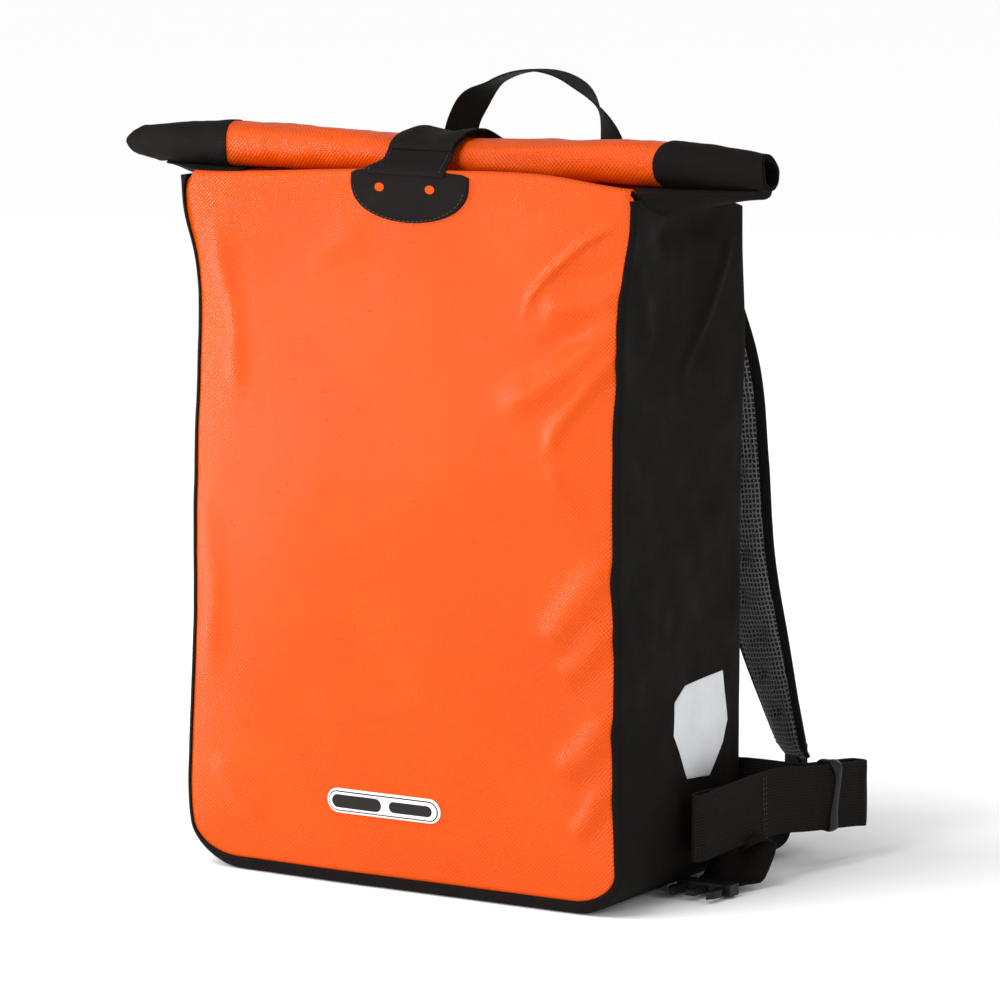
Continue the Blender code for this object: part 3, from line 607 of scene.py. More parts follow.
DENTS = [
    ([(0.180, 0.470), (0.150, 0.460), (0.118, 0.452)], 0.0080, 0.0018),
    ([(0.180, 0.428), (0.150, 0.418), (0.112, 0.410)], 0.0080, 0.0030),
    ([(0.186, 0.350), (0.165, 0.320), (0.150, 0.280)], 0.0200, 0.0022),
    ([(-0.160, 0.440), (-0.148, 0.390)], 0.0060, 0.0014),
]


FLARE = [
    # heights, and how far the edge stands out there: on the left, then on the right
    ((0, 0.02, 0.06, 0.11, 0.18, 0.36, 0.42, 0.46, 0.49, 0.53),
     (0.003, 0.0085, 0.0115, 0.0090, 0.004, 0.0025, 0.006, 0.0105, 0.0200, 0.0240)),
    ((0, 0.02, 0.05, 0.08, 0.12, 0.20, 0.26, 0.33, 0.44, 0.47, 0.49, 0.53),
     (0.0045, 0.0070, 0.0070, 0.0050, 0.0055, 0.0065, 0.0045, 0.0025, 0.0025, 0.006, 0.011, 0.0135)),
]


def flare(z, side):
    """How far the filled bag's front edge stands out beyond its pattern, on the given side."""
    z = np.asarray(z, float)
    total = 0
    for shift in (-0.010, -0.005, 0.0, 0.005, 0.010):
        left, right = (np.interp(z + shift, *table) for table in FLARE)
        total = total + np.where(np.asarray(side) < 0, left, right)
    return total / 5


def corner_pull(z, side):
    """How far the rounded top corner draws the edge in at a height."""
    reach = np.where(np.asarray(side) < 0, 0.0125, 0.0080)
    rise = np.where(np.asarray(side) < 0, 0.0185, 0.0110)
    start = 0.5215 - rise
    t = np.clip((np.asarray(z, float) - start) / rise, 0, 0.999)
    return reach * (1 - np.sqrt(1 - t**2))


def front_y(x, z):
    """The outside of the filled front, folds and all."""
    x, z = np.asarray(x, float), np.asarray(z, float)
    u = np.clip(np.abs(x) / (HALF_WIDTH + flare(z, x)), 0, 1)
    rise = np.sin(math.pi * np.clip(z / 0.46, 0, 1)) ** 0.8
    crown = 0.0125 * (1 - u**2.2) * rise + 0.0050 * (1 - u**9)
    low_edge = 0.005 * (1 - smooth(z / 0.045))
    lean = 0.013 * smooth((z - 0.30) / 0.16)
    y = FRONT_Y + 0.0035 + lean - crown + low_edge
    for line, width, height in FOLDS:
        y = y - height * along_line(x, z, line, width)
    for line, width, depth in DENTS:
        y = y + depth * along_line(x, z, line, width)
    spots = np.stack([x, np.zeros_like(x), z], axis=-1)
    return y - 0.0012 * lump(spots, 0.075, 1.7) - 0.0003 * lump(spots, 0.024, 4.2)


def seam_wave(z, side):
    """How far the front seam wanders from a straight line."""
    spots = np.stack([np.full_like(z, side * 0.4), np.zeros_like(z), z], axis=-1)
    return 0.0016 * lump(spots, 0.055, 2.3)


TOP_EDGE = [
    (-0.19, 0.5165), (-0.16, 0.5172), (-0.05, 0.5245), (0.08, 0.5285),
    (0.12, 0.5280), (0.165, 0.5225), (0.19, 0.5200),
]


def top_edge(x):
    """The height of the front's top edge, which sits higher under the strap than at the corners."""
    x = np.asarray(x, float)
    total = 0
    for shift in (-0.012, 0.0, 0.012):
        total = total + np.interp(x + shift, *zip(*TOP_EDGE))
    return total / 3


def build_front():
    cols, rows = 261, 320
    us = np.linspace(-1, 1, cols)
    low = SEAM_BOTTOM - 0.0025
    t = np.linspace(0, 1, rows)[:, None]
    height = low + (FRONT_TOP - low) * t + 0 * us[None, :]
    side = np.sign(us)[None, :] + 0 * height
    inner = CORNER - 0.0045
    below = np.clip(1 - (height - low) / inner, 0, 1)
    half = HALF_WIDTH - CORNER + inner * np.sqrt(np.clip(1 - below**2, 0, 1))
    half = half + 0.0045 - (SEAM_SIDE - 0.0028) + flare(height, side)
    half = half - corner_pull(height, side) - 0.0015 * smooth((height - 0.495) / 0.008)
    x = us[None, :] * half
    stretch = smooth((height - 0.44) / 0.08)
    z = height + (top_edge(x) - FRONT_TOP) * stretch
    x = x + seam_wave(z, 1.0) * np.clip((x - 0.12) / 0.06, 0, 1)
    # The edge that lies under the strip's lip is pressed back.
    under = np.clip((np.abs(x) - (half - 0.0034)) / 0.0030, 0, 1) + np.clip(1 - t * 200, 0, 1) * 0.7
    y = front_y(x, z) + 0.0018 * np.clip(under, 0, 1)
    grid = np.stack([x, y, z], axis=-1)
    tuck = []
    for k, angle in enumerate(np.linspace(0, math.pi * 0.5, 8)[1:]):
        row = grid[-1].copy()
        row[:, 0] *= 1 - 0.0006 * (k + 1)
        row[:, 1] += 0.0050 * (1 - math.cos(angle)) + 0.0002
        row[:, 2] += 0.0042 * math.sin(angle)
        tuck.append(row)
    for k, back in enumerate(np.linspace(0.001, 0.0085, 4)):
        row = tuck[6].copy()
        row[:, 0] *= 1 - 0.001 * (k + 1)
        row[:, 1] += back
        row[:, 2] -= back * 0.55
        tuck.append(row)
    grid = np.concatenate([grid, np.array(tuck)])
    shell("front_face", grid, COAT, ORANGE, **sewn("coated_orange", "front_panel"))


def strip_path():
    """(centre line x and z, outward x and z) from the left top round the base to the right top."""
    count_side, count_corner, count_base = 210, 30, 60
    middle = HALF_WIDTH - CORNER
    turns = [(math.cos(a), math.sin(a)) for a in np.linspace(0, math.pi / 2, count_corner + 2)[1:-1]]
    rows = [(-HALF_WIDTH, z, -1.0, 0.0) for z in np.linspace(STRIP_TOP, CORNER, count_side)]
    rows += [(-middle - CORNER * c, CORNER - CORNER * d, -c, -d) for c, d in turns]
    rows += [(x, 0.0, 0.0, -1.0) for x in np.linspace(-middle, middle, count_base)]
    rows += [(middle + CORNER * c, CORNER - CORNER * d, c, -d) for c, d in turns[::-1]]
    rows += [(HALF_WIDTH, z, 1.0, 0.0) for z in np.linspace(CORNER, STRIP_TOP, count_side)]
    return np.array(rows)


SIDE_CREASES = [
    # (points as y, z), width, height, for the side strip
    ([(0.086, 0.489), (0.060, 0.450), (0.030, 0.410), (0.000, 0.375)], 0.0050, 0.0022),
    ([(-0.075, 0.470), (-0.050, 0.440), (-0.035, 0.400)], 0.0090, 0.0025),
    ([(0.080, 0.300), (0.050, 0.270), (0.010, 0.250)], 0.0140, 0.0018),
    ([(-0.080, 0.240), (-0.050, 0.215), (-0.010, 0.205)], 0.0120, 0.0022),
    ([(-0.080, 0.120), (-0.050, 0.085), (0.000, 0.060)], 0.0110, 0.0022),
]


def depth_share(y):
    """0 at the bag's front and 1 at its back."""
    return np.clip((y + 0.088) / 0.176, 0, 1)


THROAT = [
    # y and z of the cloth that closes the bag's top, front to back
    (-0.0785, 0.5180), (-0.060, 0.5185), (-0.030, 0.5192), (-0.006, 0.5212), (0.002, 0.5215),
    (0.020, 0.5178), (0.050, 0.5108), (0.080, 0.5040), (0.0935, 0.5000), (0.0955, 0.4940),
]


def throat_height(y):
    """The height of the cloth that closes the bag's top."""
    return np.interp(y, *zip(*THROAT))


def build_strip():
    path = strip_path()
    xs, zs, ox, oz = path.T
    on_side = np.abs(ox)
    side = np.where(xs < 0, -1.0, 1.0)
    # Across the strip: the front lip, the rounded front edge, the flat, and the rounded back edge.
    lip = np.linspace(0, math.pi / 2, 14)
    flat = np.linspace(0, 1, 70)[1:-1]
    back = np.linspace(math.pi / 2, 0, 8)
    grow = flare(zs, side)
    high = np.clip((zs - 0.42) / 0.0705, 0, 1)
    raised = zs + (LIP_TOP - STRIP_TOP) * smooth(high) * high
    seam_x = xs + side * (grow - corner_pull(np.minimum(raised, LIP_TOP), side)) * on_side - ox * SEAM_SIDE
    seam_z = raised - oz * SEAM_BOTTOM
    front = front_y(seam_x, np.minimum(seam_z, LIP_TOP)) - 0.0012
    round_y = 0.0060 * on_side + 0.0090 * (1 - on_side)
    columns = []
    for a in lip:
        inset = 1 - math.sin(a)
        deep = front + round_y * (1 - math.cos(a))
        columns.append((xs - ox * SEAM_SIDE * inset, deep, zs - oz * SEAM_BOTTOM * inset))
    start_y, end_y = front + round_y, BACK_Y - 0.0045
    for t in flat:
        columns.append((xs, start_y + (end_y - start_y) * t, zs))
    for a in back:
        inset = 0.0045 * (1 - math.sin(a))
        columns.append((xs - ox * inset, end_y + 0.0050 * math.cos(a) + 0 * xs, zs - oz * inset))
    grid = np.stack([np.stack(c, axis=-1) for c in columns], axis=1)
    x, y, z = grid[..., 0], grid[..., 1], grid[..., 2]
    wide = on_side[:, None] * side[:, None]
    across = depth_share(y)
    # The top follows the cloth that closes the bag, and the front edge flares.
    up = smooth(high[:, None]) * high[:, None]
    grid[..., 2] += up * (throat_height(y) - 0.0012 - STRIP_TOP)
    z = grid[..., 2]
    spread = 1 - smooth(across) ** 0.8
    grid[..., 0] += wide * flare(z, side[:, None]) * spread
    share = np.zeros(grid.shape[1])
    share[: len(lip)] = 1 - np.sin(lip)
    grid[..., 0] -= wide * corner_pull(z, side[:, None]) * share[None, :]
    # The right side swells at its back, and the left one low down.
    on_right, on_left = side[:, None] > 0, side[:, None] < 0
    grid[..., 0] += wide * 0.003 * bell((z - 0.40) / 0.05) * smooth((across - 0.6) / 0.3) * on_right
    grid[..., 0] += wide * 0.0035 * bell((z - 0.060) / 0.045) * smooth(across * 12) * on_left * spread
    middle = np.sin(math.pi * across)
    sag = -0.0040 * middle * smooth((z - 0.30) / 0.15) + 0.0030 * middle * bell((z - 0.10) / 0.06)
    sag -= 0.0075 * bell((z - 0.489) / 0.013) * smooth((y + 0.055) / 0.04) * smooth((0.075 - y) / 0.05)
    creases = np.zeros_like(x)
    for line, width, height in SIDE_CREASES:
        creases += height * along_line(y, z, line, width)
    creases += 0.0022 * lump(grid, 0.070, 6.1) + 0.0006 * lump(grid, 0.022, 8.4)
    hold = smooth((z - 0.010) / 0.06) * smooth((0.5215 - z) / 0.02 + 0.4)
    edge_hold = smooth(across / 0.10) * smooth((1 - across) / 0.06) * 0.85 + 0.15
    grid[..., 0] += wide * (sag + creases * edge_hold) * hold
    grid[..., 0] += seam_wave(z, 1.0) * smooth((0.03 - across) / 0.03 + 0.2) * (wide > 0) * on_side[:, None]
    grid[..., 2] = np.maximum(grid[..., 2], 0.0)
    shell("side_strip", grid, THICK_CLOTH, CLOTH, **sewn("coated_black", "side_and_base_strip"))


def build_back():
    rows, cols = 90, 90
    t = np.linspace(0, 1, rows)
    grid = np.zeros((rows, cols, 3))
    for i, v in enumerate(t):
        z = 0.0015 + (0.5000 - 0.0015) * v
        half = HALF_WIDTH - 0.0035
        if z < CORNER:
            half = HALF_WIDTH - CORNER + math.sqrt(max(0.0, (CORNER - 0.0015) ** 2 - (CORNER - z) ** 2))
        grid[i, :, 0] = np.linspace(half, -half, cols)
        grid[i, :, 2] = z
    x, z = grid[..., 0], grid[..., 2]
    edge = np.minimum(1, (HALF_WIDTH - np.abs(x)) / 0.03) * np.minimum(1, z / 0.03)
    grid[..., 1] = BACK_Y - 0.0016 + 0.0014 * smooth(edge) + 0.0004 * lump(grid, 0.06, 5.5)
    shell("back_face", grid, LINING, CLOTH, **sewn("coated_black", "back_panel"))


def build_throat():
    ys = curve([(0, y, z) for y, z in THROAT], 80)
    us = np.linspace(1, -1, 150)
    y = ys[:, 1][:, None] + 0 * us[None, :]
    z = ys[:, 2][:, None] + 0 * us[None, :]
    side = np.where(us > 0, 1.0, -1.0)[None, :] + 0 * y
    across = depth_share(y)
    half = HALF_WIDTH - 0.0015 + flare(LIP_TOP, side) * (1 - smooth(across) ** 0.8)
    half = half - (corner_pull(0.5213, side) + 0.0040) * (1 - smooth((y + 0.072) / 0.014))
    half = half - 0.0035 * smooth((y - 0.070) / 0.020)
    half = half - smooth((y + 0.03) / 0.05) * (0.0010 + 0.0050 * np.sin(math.pi * across))
    x = us[None, :] * half
    lifted = (top_edge(x) - 0.5185) * (1 - smooth((y + 0.074) / 0.030)) * (1 - np.clip(np.abs(x) / half, 0, 1) ** 12)
    grid = np.stack([x, y, z + lifted], axis=-1)
    slope = smooth((y - 0.004) / 0.02) * smooth((0.093 - y) / 0.02)
    dip = np.sin(math.pi * np.clip((y + 0.01) / 0.1, 0, 1))
    grid[..., 2] += slope * (0.0016 * lump(grid, 0.05, 9.3) - 0.0022 * dip)
    # Gathers that run down from the ridge.
    for x0, x1 in ((-0.14, -0.165), (-0.09, -0.10), (-0.03, -0.032), (0.05, 0.055), (0.10, 0.118), (0.15, 0.172)):
        grid[..., 2] += slope * 0.0016 * along_line(grid[..., 0], y, [(x0, -0.005), (x1, 0.075)], 0.006)
    shell("throat_cloth", grid[::-1], THICK_CLOTH, ORANGE, **sewn("coated_orange", "throat_cover"))


def build_ears():
    """The side strip's top, folded flat and drawn out under the end of the roll."""
    count, sides = 60, 72
    for name, s in SIDES:
        tip, tip_low = (0.2480, 0.5185) if s < 0 else (0.2600, 0.5168)
        angles = np.linspace(0, 2 * math.pi, sides, endpoint=False)
        ks = np.linspace(0, 1, count)
        rings = []
        for k in ks:
            ease = 0.35 * float(smooth(k)) + 0.65 * k
            wide = 0.0790 + (0.0115 - 0.0790) * ease
            yc = -0.0010 + (-0.0190 + 0.0010) * ease
            x = 0.1690 + (tip - 0.1690) * k
            top = roll_box(s * x)[2] - 0.0007
            low = 0.5010 + (tip_low - 0.5010) * float(smooth(k)) ** 0.75
            ring = []
            for a in angles:
                c, d = math.cos(a), math.sin(a)
                y = yc + wide * math.copysign(abs(c) ** 0.85, c)
                drop = 0.0045 * (1 - ease) * smooth((y - 0.015) / 0.05)
                z = (top - drop if d > 0 else top - drop - (top - low) * abs(d) ** 0.75)
                z += (0.0010 if d > 0 else 0.0) * abs(d)
                ring.append((s * x, y, z))
            rings.append(ring)
        rings = np.array(rings)
        fade = smooth(ks / 0.15)[:, None] * smooth((1 - ks) / 0.1 + 0.2)[:, None]
        low_side = smooth((0.5190 - rings[..., 2]) / 0.004)
        rumple = 0.0016 * lump(rings, 0.026, 11.0 + s) + 0.0011 * np.sin(rings[..., 1] * 130 + 2.0)
        rings[..., 2] += fade * low_side * rumple
        if s < 0:
            rings = rings[:, ::-1]
        tube(f"ear_{name}", rings, CLOTH, **sewn("coated_black", f"throat_ear_{name}"))


# ---------------------------------------------------------------- the rolled mouth

TURNS = 2.25
STEPS = 34
ROLL_WRINKLES = [
    # (x and angle of one end, x and angle of the other, width, height)
    (-0.165, 1.2, -0.045, 2.4, 0.25, 0.0018),
    (-0.15, 2.2, -0.06, 2.9, 0.2, 0.0013),
    (0.05, 2.7, 0.17, 2.2, 0.22, 0.0014),
    (0.03, 3.4, 0.12, 3.7, 0.2, 0.0012),
]


def between(x, places, values):
    """A table of values read at x, with its corners rounded."""
    return sum(np.interp(x + shift, places, values) for shift in (-0.008, -0.004, 0, 0.004, 0.008)) / 5


ROLL = [
    # x, and the rolled cloth's front, rear, bottom and top there
    (-0.284, -0.031, -0.01, 0.5255, 0.5445),
    (-0.27, -0.034, -0.009, 0.5225, 0.5462),
    (-0.24, -0.04, -0.007, 0.5208, 0.549),
    (-0.188, -0.046, -0.0052, 0.52, 0.5528),
    (-0.12, -0.05, -0.005, 0.5202, 0.5518),
    (-0.05, -0.0555, -0.005, 0.521, 0.5508),
    (0.0, -0.0565, -0.005, 0.522, 0.5492),
    (0.05, -0.0555, -0.005, 0.5222, 0.5508),
    (0.09, -0.05, -0.005, 0.5222, 0.5516),
    (0.16, -0.045, -0.005, 0.5222, 0.555),
    (0.188, -0.044, -0.0052, 0.5222, 0.5548),
    (0.225, -0.039, -0.007, 0.5226, 0.552),
    (0.255, -0.034, -0.009, 0.5234, 0.5488),
    (0.2665, -0.031, -0.01, 0.5238, 0.5476),
]
ROLL_PLACES, *ROLL_SIDES = zip(*ROLL)


def roll_box(x):
    """The rolled cloth's front, rear, bottom and top at a place along it: it narrows towards its ends."""
    return [float(between(x, ROLL_PLACES, values)) for values in ROLL_SIDES]


def roll_section(x, angle, turn):
    """A point of the rolled cloth, round its own centre."""
    front, rear, bottom, top = roll_box(x)
    shrink = 1 - turn * 0.117
    half_y, half_z = (rear - front) / 2, (top - bottom) / 2
    c, s = math.cos(angle), math.sin(angle)
    # A soft square section: flatter on top and in front than an ellipse.
    y = half_y * (shrink - 0.015 * turn) * math.copysign(abs(c) ** 0.84, c)
    z = half_z * (shrink - 0.045 * turn) * math.copysign(abs(s) ** 0.84, s)
    return (front + rear) / 2 + y, (bottom + top) / 2 + z


def roll_piece(name, x0, x1, stations, grow, material, slot, node):
    """One length of the spiral; the black ends stand proud of the orange by grow."""
    turns = np.linspace(0, TURNS, int(TURNS * STEPS) + 1)
    xs = np.linspace(x0, x1, stations)
    grid = np.zeros((len(turns), len(xs), 3))
    centre = np.zeros((len(turns), len(xs), 3))
    for j, x in enumerate(xs):
        front, rear, bottom, top = roll_box(x)
        centre[:, j] = (x, (front + rear) / 2, (bottom + top) / 2)
        for i, turn in enumerate(turns):
            y, z = roll_section(x, 2 * math.pi * turn, turn)
            grid[i, j] = (x, y, z)
    angle = 2 * math.pi * turns[:, None] + 0 * grid[..., 0]
    # Wrinkles that all the layers share, so that they don't cross.
    spots = np.stack([grid[..., 0], 0.02 * np.cos(angle), 0.02 * np.sin(angle)], axis=-1)
    amount = 0.0010 * lump(spots, 0.022, 12.5) + 0.0006 * lump(spots * (1.0, 2.0, 2.0), 0.012, 3.3)
    turned = angle % (2 * math.pi)
    for xa, aa, xb, ab, wide, high in ROLL_WRINKLES:
        ends = [(xa / 0.2, aa / 3), (xb / 0.2, ab / 3)]
        amount += high * along_line(grid[..., 0] / 0.2, turned / 3, ends, wide / 3)
    outward = grid - centre
    outward /= np.maximum(np.linalg.norm(outward, axis=-1, keepdims=True), 1e-6)
    fade = smooth(turns / 0.06)[:, None]
    grid += outward * (amount * fade + grow)[..., None]
    # The ends come to a blunt point, and the black cloth laps over the orange at mid-height.
    s = 1 if x1 + x0 > 0.1 else -1 if x1 + x0 < -0.1 else 0
    if s:
        far = smooth((np.abs(grid[..., 0]) - 0.235) / 0.038)
        lean = np.abs(np.sin(angle)) ** 1.3
        pull = 0.0085 * lean if s < 0 else 0.0045 * lean * (np.sin(angle) > 0)
        grid[..., 0] += s * far * (0.0010 * turns[:, None] - pull)
        near = smooth((0.205 - np.abs(grid[..., 0])) / 0.018)
        grid[..., 0] -= s * near * 0.0050 * np.clip(-np.cos(angle), 0, 1) ** 1.5
    shell(name, grid, LINING, material, **sewn(slot, node, body="mouth_roll"))


def build_roll():
    roll_piece("roll_orange", -0.1905, 0.1905, 190, 0.0, ORANGE, "coated_orange", "rolled_mouth")
    for name, s in SIDES:
        x0, x1 = s * 0.1880, s * (0.2660 if s > 0 else 0.2828)
        if s < 0:
            x0, x1 = x1, x0
        roll_piece(f"roll_end_{name}", x0, x1, 56, 0.0009, CLOTH, "coated_black", f"rolled_mouth_end_{name}")


def build_neck():
    """The flat cloth between the throat and the roll, which is paid out as the roll turns back."""
    for name, x0, x1, material, slot in (
        ("neck_orange", -0.188, 0.188, ORANGE, "coated_orange"),
        ("neck_left", -0.272, -0.1884, CLOTH, "coated_black"),
        ("neck_right", 0.1884, 0.258, CLOTH, "coated_black"),
    ):
        xs = np.linspace(x0, x1, 90 if x0 < 0 < x1 else 24)
        zs = np.linspace(0.5203, 0.5380, 26)
        grid = np.zeros((len(zs), len(xs), 3))
        grid[..., 0] = xs
        grid[..., 2] = zs[:, None]
        grid[..., 1] = [roll_box(x)[1] + 0.0024 for x in xs]
        grid[..., 1] += 0.0004 * lump(grid, 0.03, 14.0)
        sheet = shell(name, grid, LINING, material)
        if x0 < 0 < x1:
            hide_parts("throat_neck")
        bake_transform(sheet)


build_front()
build_strip()
build_back()
build_throat()
build_ears()
build_roll()
build_neck()

# ---------------------------------------------------------------- closure


def plate(name, outline, place, material, thick, **ties):
    """A flat patch cut to an outline in (x, z); place(x, z) gives a point on the cloth and its outward normal."""
    outline = np.array(outline, float)
    centre = outline.mean(axis=0)
    shares = [1.0, 0.985, 0.96, 0.85, 0.7, 0.5, 0.3, 0.12]
    verts, uv = [], []
    # The raised face first, with an eased edge, then the face that lies on the cloth.
    for lifts in ([0.25, 0.8, *[1.0] * 6], [0.0] * 8):
        for share, lift in zip(shares, lifts):
            for p in outline:
                x, z = centre + (p - centre) * share
                at, normal = place(x, z)
                verts.append(np.array(at) + np.array(normal) * thick * lift)
                uv.append((x, z))
    n, base = len(outline), len(outline) * len(shares)
    faces = quads(len(shares), n, around=True)
    faces.append(tuple(range(base - n, base)))
    faces += [face[::-1] for face in quads(len(shares), n, base, around=True)]
    faces.append(tuple(range(2 * base - 1, 2 * base - n - 1, -1)))
    faces += [((k + 1) % n, k, base + k, base + (k + 1) % n) for k in range(n)]
    uvs = [[uv[k] for k in face] for face in faces]
    return finish_mesh(name, verts, faces, uvs, material, **ties)


def one(value):
    return float(np.asarray(value).ravel()[0])


def on_front(x, z):
    a = np.array([x])
    b = np.array([z])
    y = one(front_y(a, b))
    slope_x = (one(front_y(a + 0.002, b)) - y) / 0.002
    slope_z = (one(front_y(a, b + 0.002)) - y) / 0.002
    normal = np.array((slope_x, -1.0, slope_z))
    normal /= np.linalg.norm(normal)
    return np.array((x, y, z)) + normal * 0.0002, normal


def build_patch():
    """The D-shaped patch at the foot of the closing tab, with two small round holes through to the orange."""
    top = 0.5278
    outline = []
    for a in np.linspace(-math.pi / 2, math.pi / 2, 56):
        outline.append((0.0030 + 0.0505 * math.sin(a), top - 0.0055 - 0.0300 * max(math.cos(a), 0) ** 0.8))
    outline += [(0.0535, top - 0.001), (0.048, top + 0.0012), (0.032, top + 0.0022)]
    outline += [(x, top + 0.0022) for x in np.linspace(0.024, -0.024, 9)]
    outline += [(-0.028, top + 0.0022), (-0.042, top + 0.0012), (-0.0470, top - 0.001)]
    plate("closing_patch", outline[::-1], on_front, FELT, 0.0016, **sewn("coated_black", "closure_patch"))
    # The holes go right through, so what shows in them is the orange coat below.
    for name, s in SIDES:
        at, normal = on_front(s * 0.0215, 0.5172)
        count = 28
        verts = [at + normal * 0.0016]
        for r, lift in ((1.0, 0.0005), (0.93, 0.0010)):
            for a in np.linspace(0, 2 * math.pi, count, endpoint=False):
                flat = np.array((0.0042 * r * math.cos(a), 0, 0.0033 * r * math.sin(a)))
                verts.append(at + normal * (lift + 0.0008) + flat)
        faces = quads(2, count, 1, around=True)
        faces += [(1 + count + k, 1 + count + (k + 1) % count, 0) for k in range(count)]
        finish_mesh(f"eyelet_{name}", verts, faces, None, EYELET, **sewn("coated_orange"))
    curved = outline[2:54]
    lifts = [on_front(*p)[1] for p in curved]
    edge = [on_front(0.94 * x, z + 0.0012)[0] + lift * 0.0017 for (x, z), lift in zip(curved, lifts)]
    stitches("patch_stitching", edge, lifts, "bag", "coated_black")


EYELET = coated_tarpaulin("tarpaulin_in_hole")
build_patch()


# y and z along the tab, from the patch up over the roll, and along the strap, from the back over the roll.
TAB_ROUTE = [
    (-0.0868, 0.5270), (-0.0850, 0.5304), (-0.0780, 0.5330), (-0.0700, 0.5358),
    (-0.0648, 0.5405), (-0.0615, 0.5450), (-0.0552, 0.5488), (-0.0462, 0.5516),
]
STRAP_ROUTE = [
    (0.0975, 0.5085), (0.0880, 0.5125), (0.0600, 0.5240), (0.0300, 0.5366), (-0.0080, 0.5508), (-0.0220, 0.5538),
    (-0.0340, 0.5545), (-0.0460, 0.5538), (-0.0565, 0.5506), (-0.0620, 0.5466), (-0.0642, 0.5435),
]


def build_tab_and_strap():
    ties = sewn("coated_black", "closure_tab", body="closure_tab")
    tab = curve([(0, y, z) for y, z in TAB_ROUTE], 60)
    widths = 0.0580 + 0.010 * smooth(1 - np.linspace(0, 1, 60) / 0.45) - 0.003 * np.linspace(0, 1, 60)
    strap("tab", tab, (1, 0, 0), widths, 0.0015, FELT, columns=30, wobble=0.0005, **ties)
    tangent, side, normal = frames_along(tab, (1, 0, 0))
    out = -normal if normal[20][1] > 0 else normal
    for name, s in SIDES:
        line = tab + out * 0.0009
        line[:, 0] = s * (widths / 2 - 0.0035)
        stitches(f"tab_stitching_{name}", line[3:], out[3:], "closure_tab", "coated_black")
    route = curve([(0, y, z) for y, z in STRAP_ROUTE], 100)
    tangent, side, normal = frames_along(route, (1, 0, 0))
    columns = 34
    rings = []
    for k, (p, n) in enumerate(zip(route, normal)):
        t = k / (len(route) - 1)
        section = band_profile(0.0510 + 0.0035 * smooth((t - 0.75) / 0.2), 0.0017, columns)
        share = section[:, 0] / 0.025
        # It arches up off the roll on its right, and is rucked on its left.
        arch = 0.0024 * math.sin(math.pi * min(1, max(0, (t - 0.42) / 0.50))) * smooth((share + 0.1) / 1.1)
        ruck = 0.0026 * math.exp(-(((t - 0.80) / 0.10) ** 2)) * bell((share + 0.72) / 0.30)
        ripple = 0.0008 * np.sin(section[:, 0] * 160 + t * 5) * smooth((1 - t) / 0.2)
        up = n if n[2] > 0 else -n
        rings.append(p + section[:, :1] * np.array((1, 0, 0)) + (section[:, 1] + arch + ruck + ripple)[:, None] * up)
    ties = sewn("webbing", "closure_strap", body="closure_strap")
    tube("strap_over_roll", facing_out(np.array(rings), tangent[0]), WEBBING, **ties)
    webbing_patch("strap_anchor", 0, 0.4555, 0.5065, 0.050, "closure_strap_anchor")


def webbing_patch(name, x, z0, z1, width, node):
    """A length of webbing sewn flat on the back, with a box of stitches."""
    thick = 0.0018
    route = [(x, BACK_Y + 0.0006 + thick / 2, z) for z in np.linspace(z0, z1, 24)]
    strap(name, route, (1, 0, 0), width, thick, WEBBING, columns=16, **sewn("webbing", node))
    y = BACK_Y + 0.0007 + thick
    dx, lo, hi = width / 2 - 0.003, z0 + 0.003, z0 + min(z1 - z0 - 0.004, 0.038)
    box = [(x - dx, y, lo), (x + dx, y, lo), (x + dx, y, hi), (x - dx, y, hi), (x - dx, y, lo), (x + dx, y, hi)]
    stitches(name + "_stitching", dense(box, 20), (0, 1, 0), "bag", "webbing")


build_tab_and_strap()


def build_handle():
    half_span, height = 0.068, 0.0845
    points, across = [], []
    for a in np.linspace(0, 180, 97):
        angle = math.radians(a)
        near = min(a, 180 - a)
        wide = half_span + (0.008 if a > 90 else 0.0) * math.sin(angle) ** 0.7 * abs(math.cos(angle)) ** 0.3
        x = wide * math.cos(angle) + 0.003 * math.sin(angle) ** 3
        points.append((x, 0.0985, 0.5065 + height * math.sin(angle) ** 0.80))
        # The webbing turns from flat on the back to edge-on at the top; on the left it does so in two steps.
        turned = smooth(near / 62) if a <= 90 else 0.52 * smooth(near / 30) + 0.48 * smooth((near - 34) / 26)
        twist = math.radians(88) * turned
        outward = np.array((math.cos(angle), 0, math.sin(angle)))
        across.append(outward * math.cos(twist) - np.array((0, 1, 0)) * math.sin(twist))
    ties = sewn("webbing", "carry_handle", body="carry_handle")
    strap("handle", points, across, 0.0250, 0.0019, WEBBING, columns=16, wobble=0.0006, **ties)
    for name, s in SIDES:
        webbing_patch(f"handle_foot_{name}", s * 0.068, 0.4585, 0.5065, 0.025, f"handle_anchor_{name}")


build_handle()

# ---------------------------------------------------------------- back and harness


